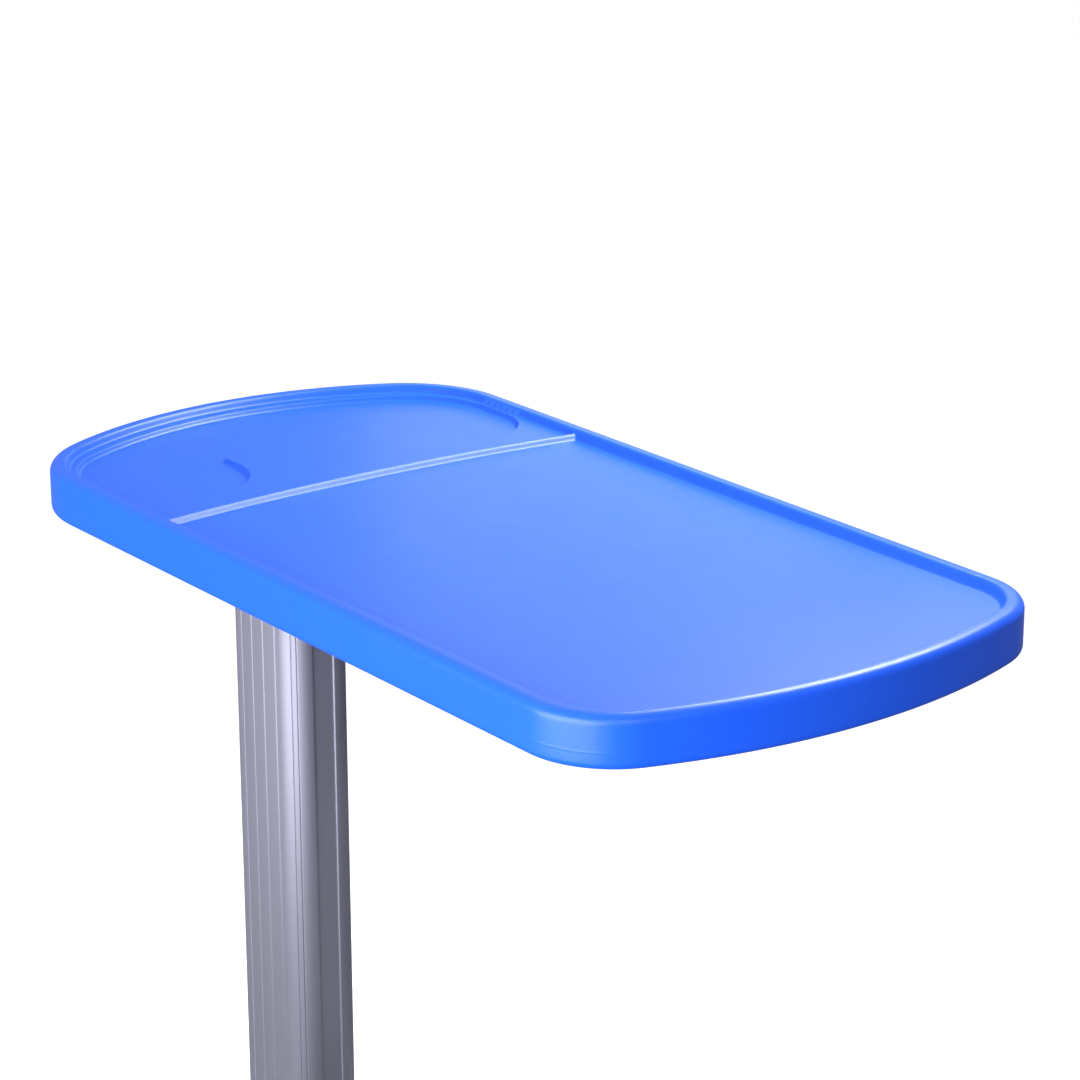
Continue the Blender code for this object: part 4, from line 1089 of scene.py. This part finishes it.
def brake_pedal(number):
    """Stamped pedal with tread ribs, on the CAD's own shape."""
    node = f"brake_pedal_{number}"
    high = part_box(node)[1]
    bm = node_copy(node)
    for k in range(TREAD["count"]):
        reach = TREAD["first"] + TREAD["pitch"] * k
        x = high.x - PEDAL_BARREL - reach * math.cos(PEDAL_SLOPE)
        z = high.z - PEDAL_BARREL - reach * math.sin(PEDAL_SLOPE) + TREAD["lift"]
        turned(bm, in_mm([(0.7, -11), (0.7, 11)]), (x, middle_of(node).y, z), "Y", 12)
    mesh = fused(f"brake_pad_{number}", bm, 0.4 * MM, 3, 0.25)
    new_piece(f"brake_pad_{number}", mesh, "black_enamel", f"pedal_{number}", node)


def castors():
    """Housing, tyres and hubs of the four castors; the first two carry brakes."""
    plain, braked = castor_hood_mesh(False), castor_hood_mesh(True)
    tyre, hub = castor_wheel_meshes()
    for number in (1, 2, 3, 4):
        axle = middle_of(f"castor_axle_{number}")
        housing = moved(braked if number < 3 else plain, axle)
        new_piece(f"castor_housing_{number}", housing, "grey_plastic", f"castor_{number}",
                  f"castor_hood_{number}")
        for letter in ("a", "b"):
            node = f"castor_wheel_{number}{letter}"
            centre = middle_of(node)
            flip = letter == "b"
            new_piece(f"castor_tyre_{number}{letter}", moved(tyre, centre, flip), "grey_tread",
                      f"wheels_{number}", node)
            new_piece(f"castor_hub_{number}{letter}", moved(hub, centre, flip), "grey_plastic",
                      f"wheels_{number}")
    brake_pedal(1)
    brake_pedal(2)


# ---- CAD nodes that keep their shape
def dress_nodes():
    """Every CAD node gets its slot's finish; those that are replaced stay hidden."""
    slots = {entry["node"]: entry["material_slot"] for entry in frame["record"]["subparts"]}
    for name, node in frame["nodes"].items():
        node.data.materials.clear()
        node.data.materials.append(MATERIALS[slots[name]])
        node.data.shade_smooth()
        node.data.set_sharp_from_angle(angle=math.radians(35))


# ---- camera, lights and floor
def colour_management():
    """Plain transfer curve, so that strong colours stay as strong as they are."""
    bpy.context.scene.view_settings.view_transform = "Standard"


EYE = (1.8754, -1.3538, 0.7383)  # from the origin's vertical and the rim
EYE_AZIMUTH, EYE_ELEVATION, EYE_ROLL = math.radians(53.40), math.radians(18.05), math.radians(-0.13)
LENS = 111.6


def camera():
    data = bpy.data.cameras.new("camera")
    data.lens = LENS
    data.sensor_width = 36.0
    data.clip_end = 50.0
    eye = bpy.data.objects.new("camera", data)
    bpy.context.scene.collection.objects.link(eye)
    turn = (Matrix.Rotation(EYE_AZIMUTH, 4, "Z") @ Matrix.Rotation(math.pi / 2 - EYE_ELEVATION, 4, "X")
            @ Matrix.Rotation(EYE_ROLL, 4, "Z"))
    eye.matrix_world = Matrix.Translation((EYE[0], EYE[1], RIM_Z + EYE[2])) @ turn
    bpy.context.scene.camera = eye


# (name, place, aim, size, power); places and aims are measured from the rim's height
LIGHTS = (("back_softbox", (0.00, 0.64, 0.76), (0.0, 0.0, 0.0), (0.7, 0.4), 17),
          ("left_softbox", (0.35, -1.7, 0.05), (0.0, 0.0, 0.0), (2.2, 1.3), 66),
          ("rear_panel", (-0.85, 0.75, 0.28), (-0.2, 0.1, 0.0), (0.5, 0.35), 0.45),
          ("right_panel", (1.5, -0.7, 0.5), (0.35, 0.0, 0.0), (1.0, 0.7), 5))


def area_light(name, place, aim, size, power):
    data = bpy.data.lights.new(name, "AREA")
    data.shape = "RECTANGLE"
    data.size, data.size_y = size
    data.energy = power
    lamp = bpy.data.objects.new(name, data)
    bpy.context.scene.collection.objects.link(lamp)
    lamp.location = Vector(place) + Vector((0, 0, RIM_Z))
    lamp.rotation_euler = (Vector(aim) - Vector(place)).to_track_quat("-Z", "Y").to_euler()
    lamp.visible_camera = False


# light of the surround along an axis that leans up and to the column's side
SURROUND_AXIS = (-0.28, -0.05, 0.96)
SURROUND = ((-1.0, 0.14), (-0.30, 0.20), (0.25, 0.30), (0.60, 0.42), (1.0, 0.80))


def studio_world():
    """Soft white surround, brighter above and beyond the column's end than below the free end."""
    world = bpy.data.worlds.new("studio")
    bpy.context.scene.world = world
    world.use_nodes = True
    tree = world.node_tree
    coords = tree.nodes.new("ShaderNodeTexCoord")
    along = tree.nodes.new("ShaderNodeVectorMath")
    along.operation = "DOT_PRODUCT"
    along.inputs[1].default_value = SURROUND_AXIS
    ramp = tree.nodes.new("ShaderNodeValToRGB")
    share = tree.nodes.new("ShaderNodeMapRange")
    share.inputs["From Min"].default_value = -1.0
    tree.links.new(coords.outputs["Generated"], along.inputs[0])
    tree.links.new(along.outputs["Value"], share.inputs["Value"])
    tree.links.new(share.outputs["Result"], ramp.inputs["Fac"])
    tree.links.new(ramp.outputs["Color"], tree.nodes["Background"].inputs["Color"])
    while len(ramp.color_ramp.elements) < len(SURROUND):
        ramp.color_ramp.elements.new(0.5)
    for element, (height, grey) in zip(ramp.color_ramp.elements, SURROUND):
        element.position = (height + 1) / 2
        element.color = (grey, grey, grey, 1.0)


REACH = 30.0  # half the floor's width
FLOOR_GLOW = 0.55
BACKDROP_GLOW = 0.95


def stage_object(name, bm, material):
    """Part of the studio that the camera sees, but that sends no light to the table."""
    mesh = bpy.data.meshes.new(name)
    bm.to_mesh(mesh)
    bm.free()
    mesh.materials.append(material)
    piece = bpy.data.objects.new(name, mesh)
    bpy.context.scene.collection.objects.link(piece)
    piece.visible_diffuse = False
    piece.visible_glossy = False
    return piece


def studio():
    studio_world()
    for light in LIGHTS:
        area_light(*light)

    bm = bmesh.new()
    corners = ((-REACH, -REACH), (REACH, -REACH), (REACH, REACH), (-REACH, REACH))
    bm.faces.new([bm.verts.new((x, y, 0)) for x, y in corners])
    s = Shader("pale_floor")
    s.paint((0.86, 0.86, 0.86))
    s.set(roughness=0.9, specular=0.1)
    s.glow(FLOOR_GLOW)
    stage_object("floor", bm, s.material)

    bm = bmesh.new()
    bmesh.ops.create_uvsphere(bm, u_segments=48, v_segments=24, radius=0.95 * REACH)
    s = Shader("pale_backdrop")
    s.paint((0.0, 0.0, 0.0))
    s.set(roughness=1.0, specular=0.0)
    s.glow(BACKDROP_GLOW)
    stage_object("backdrop", bm, s.material).visible_shadow = False


dress_nodes()
table_top()
column()
column_head()
release_handle()
pan_screws()
blow_plug()
end_plugs()
mast()
foot_cover()
welds()
leg_caps()
castors()
colour_management()
camera()
studio()
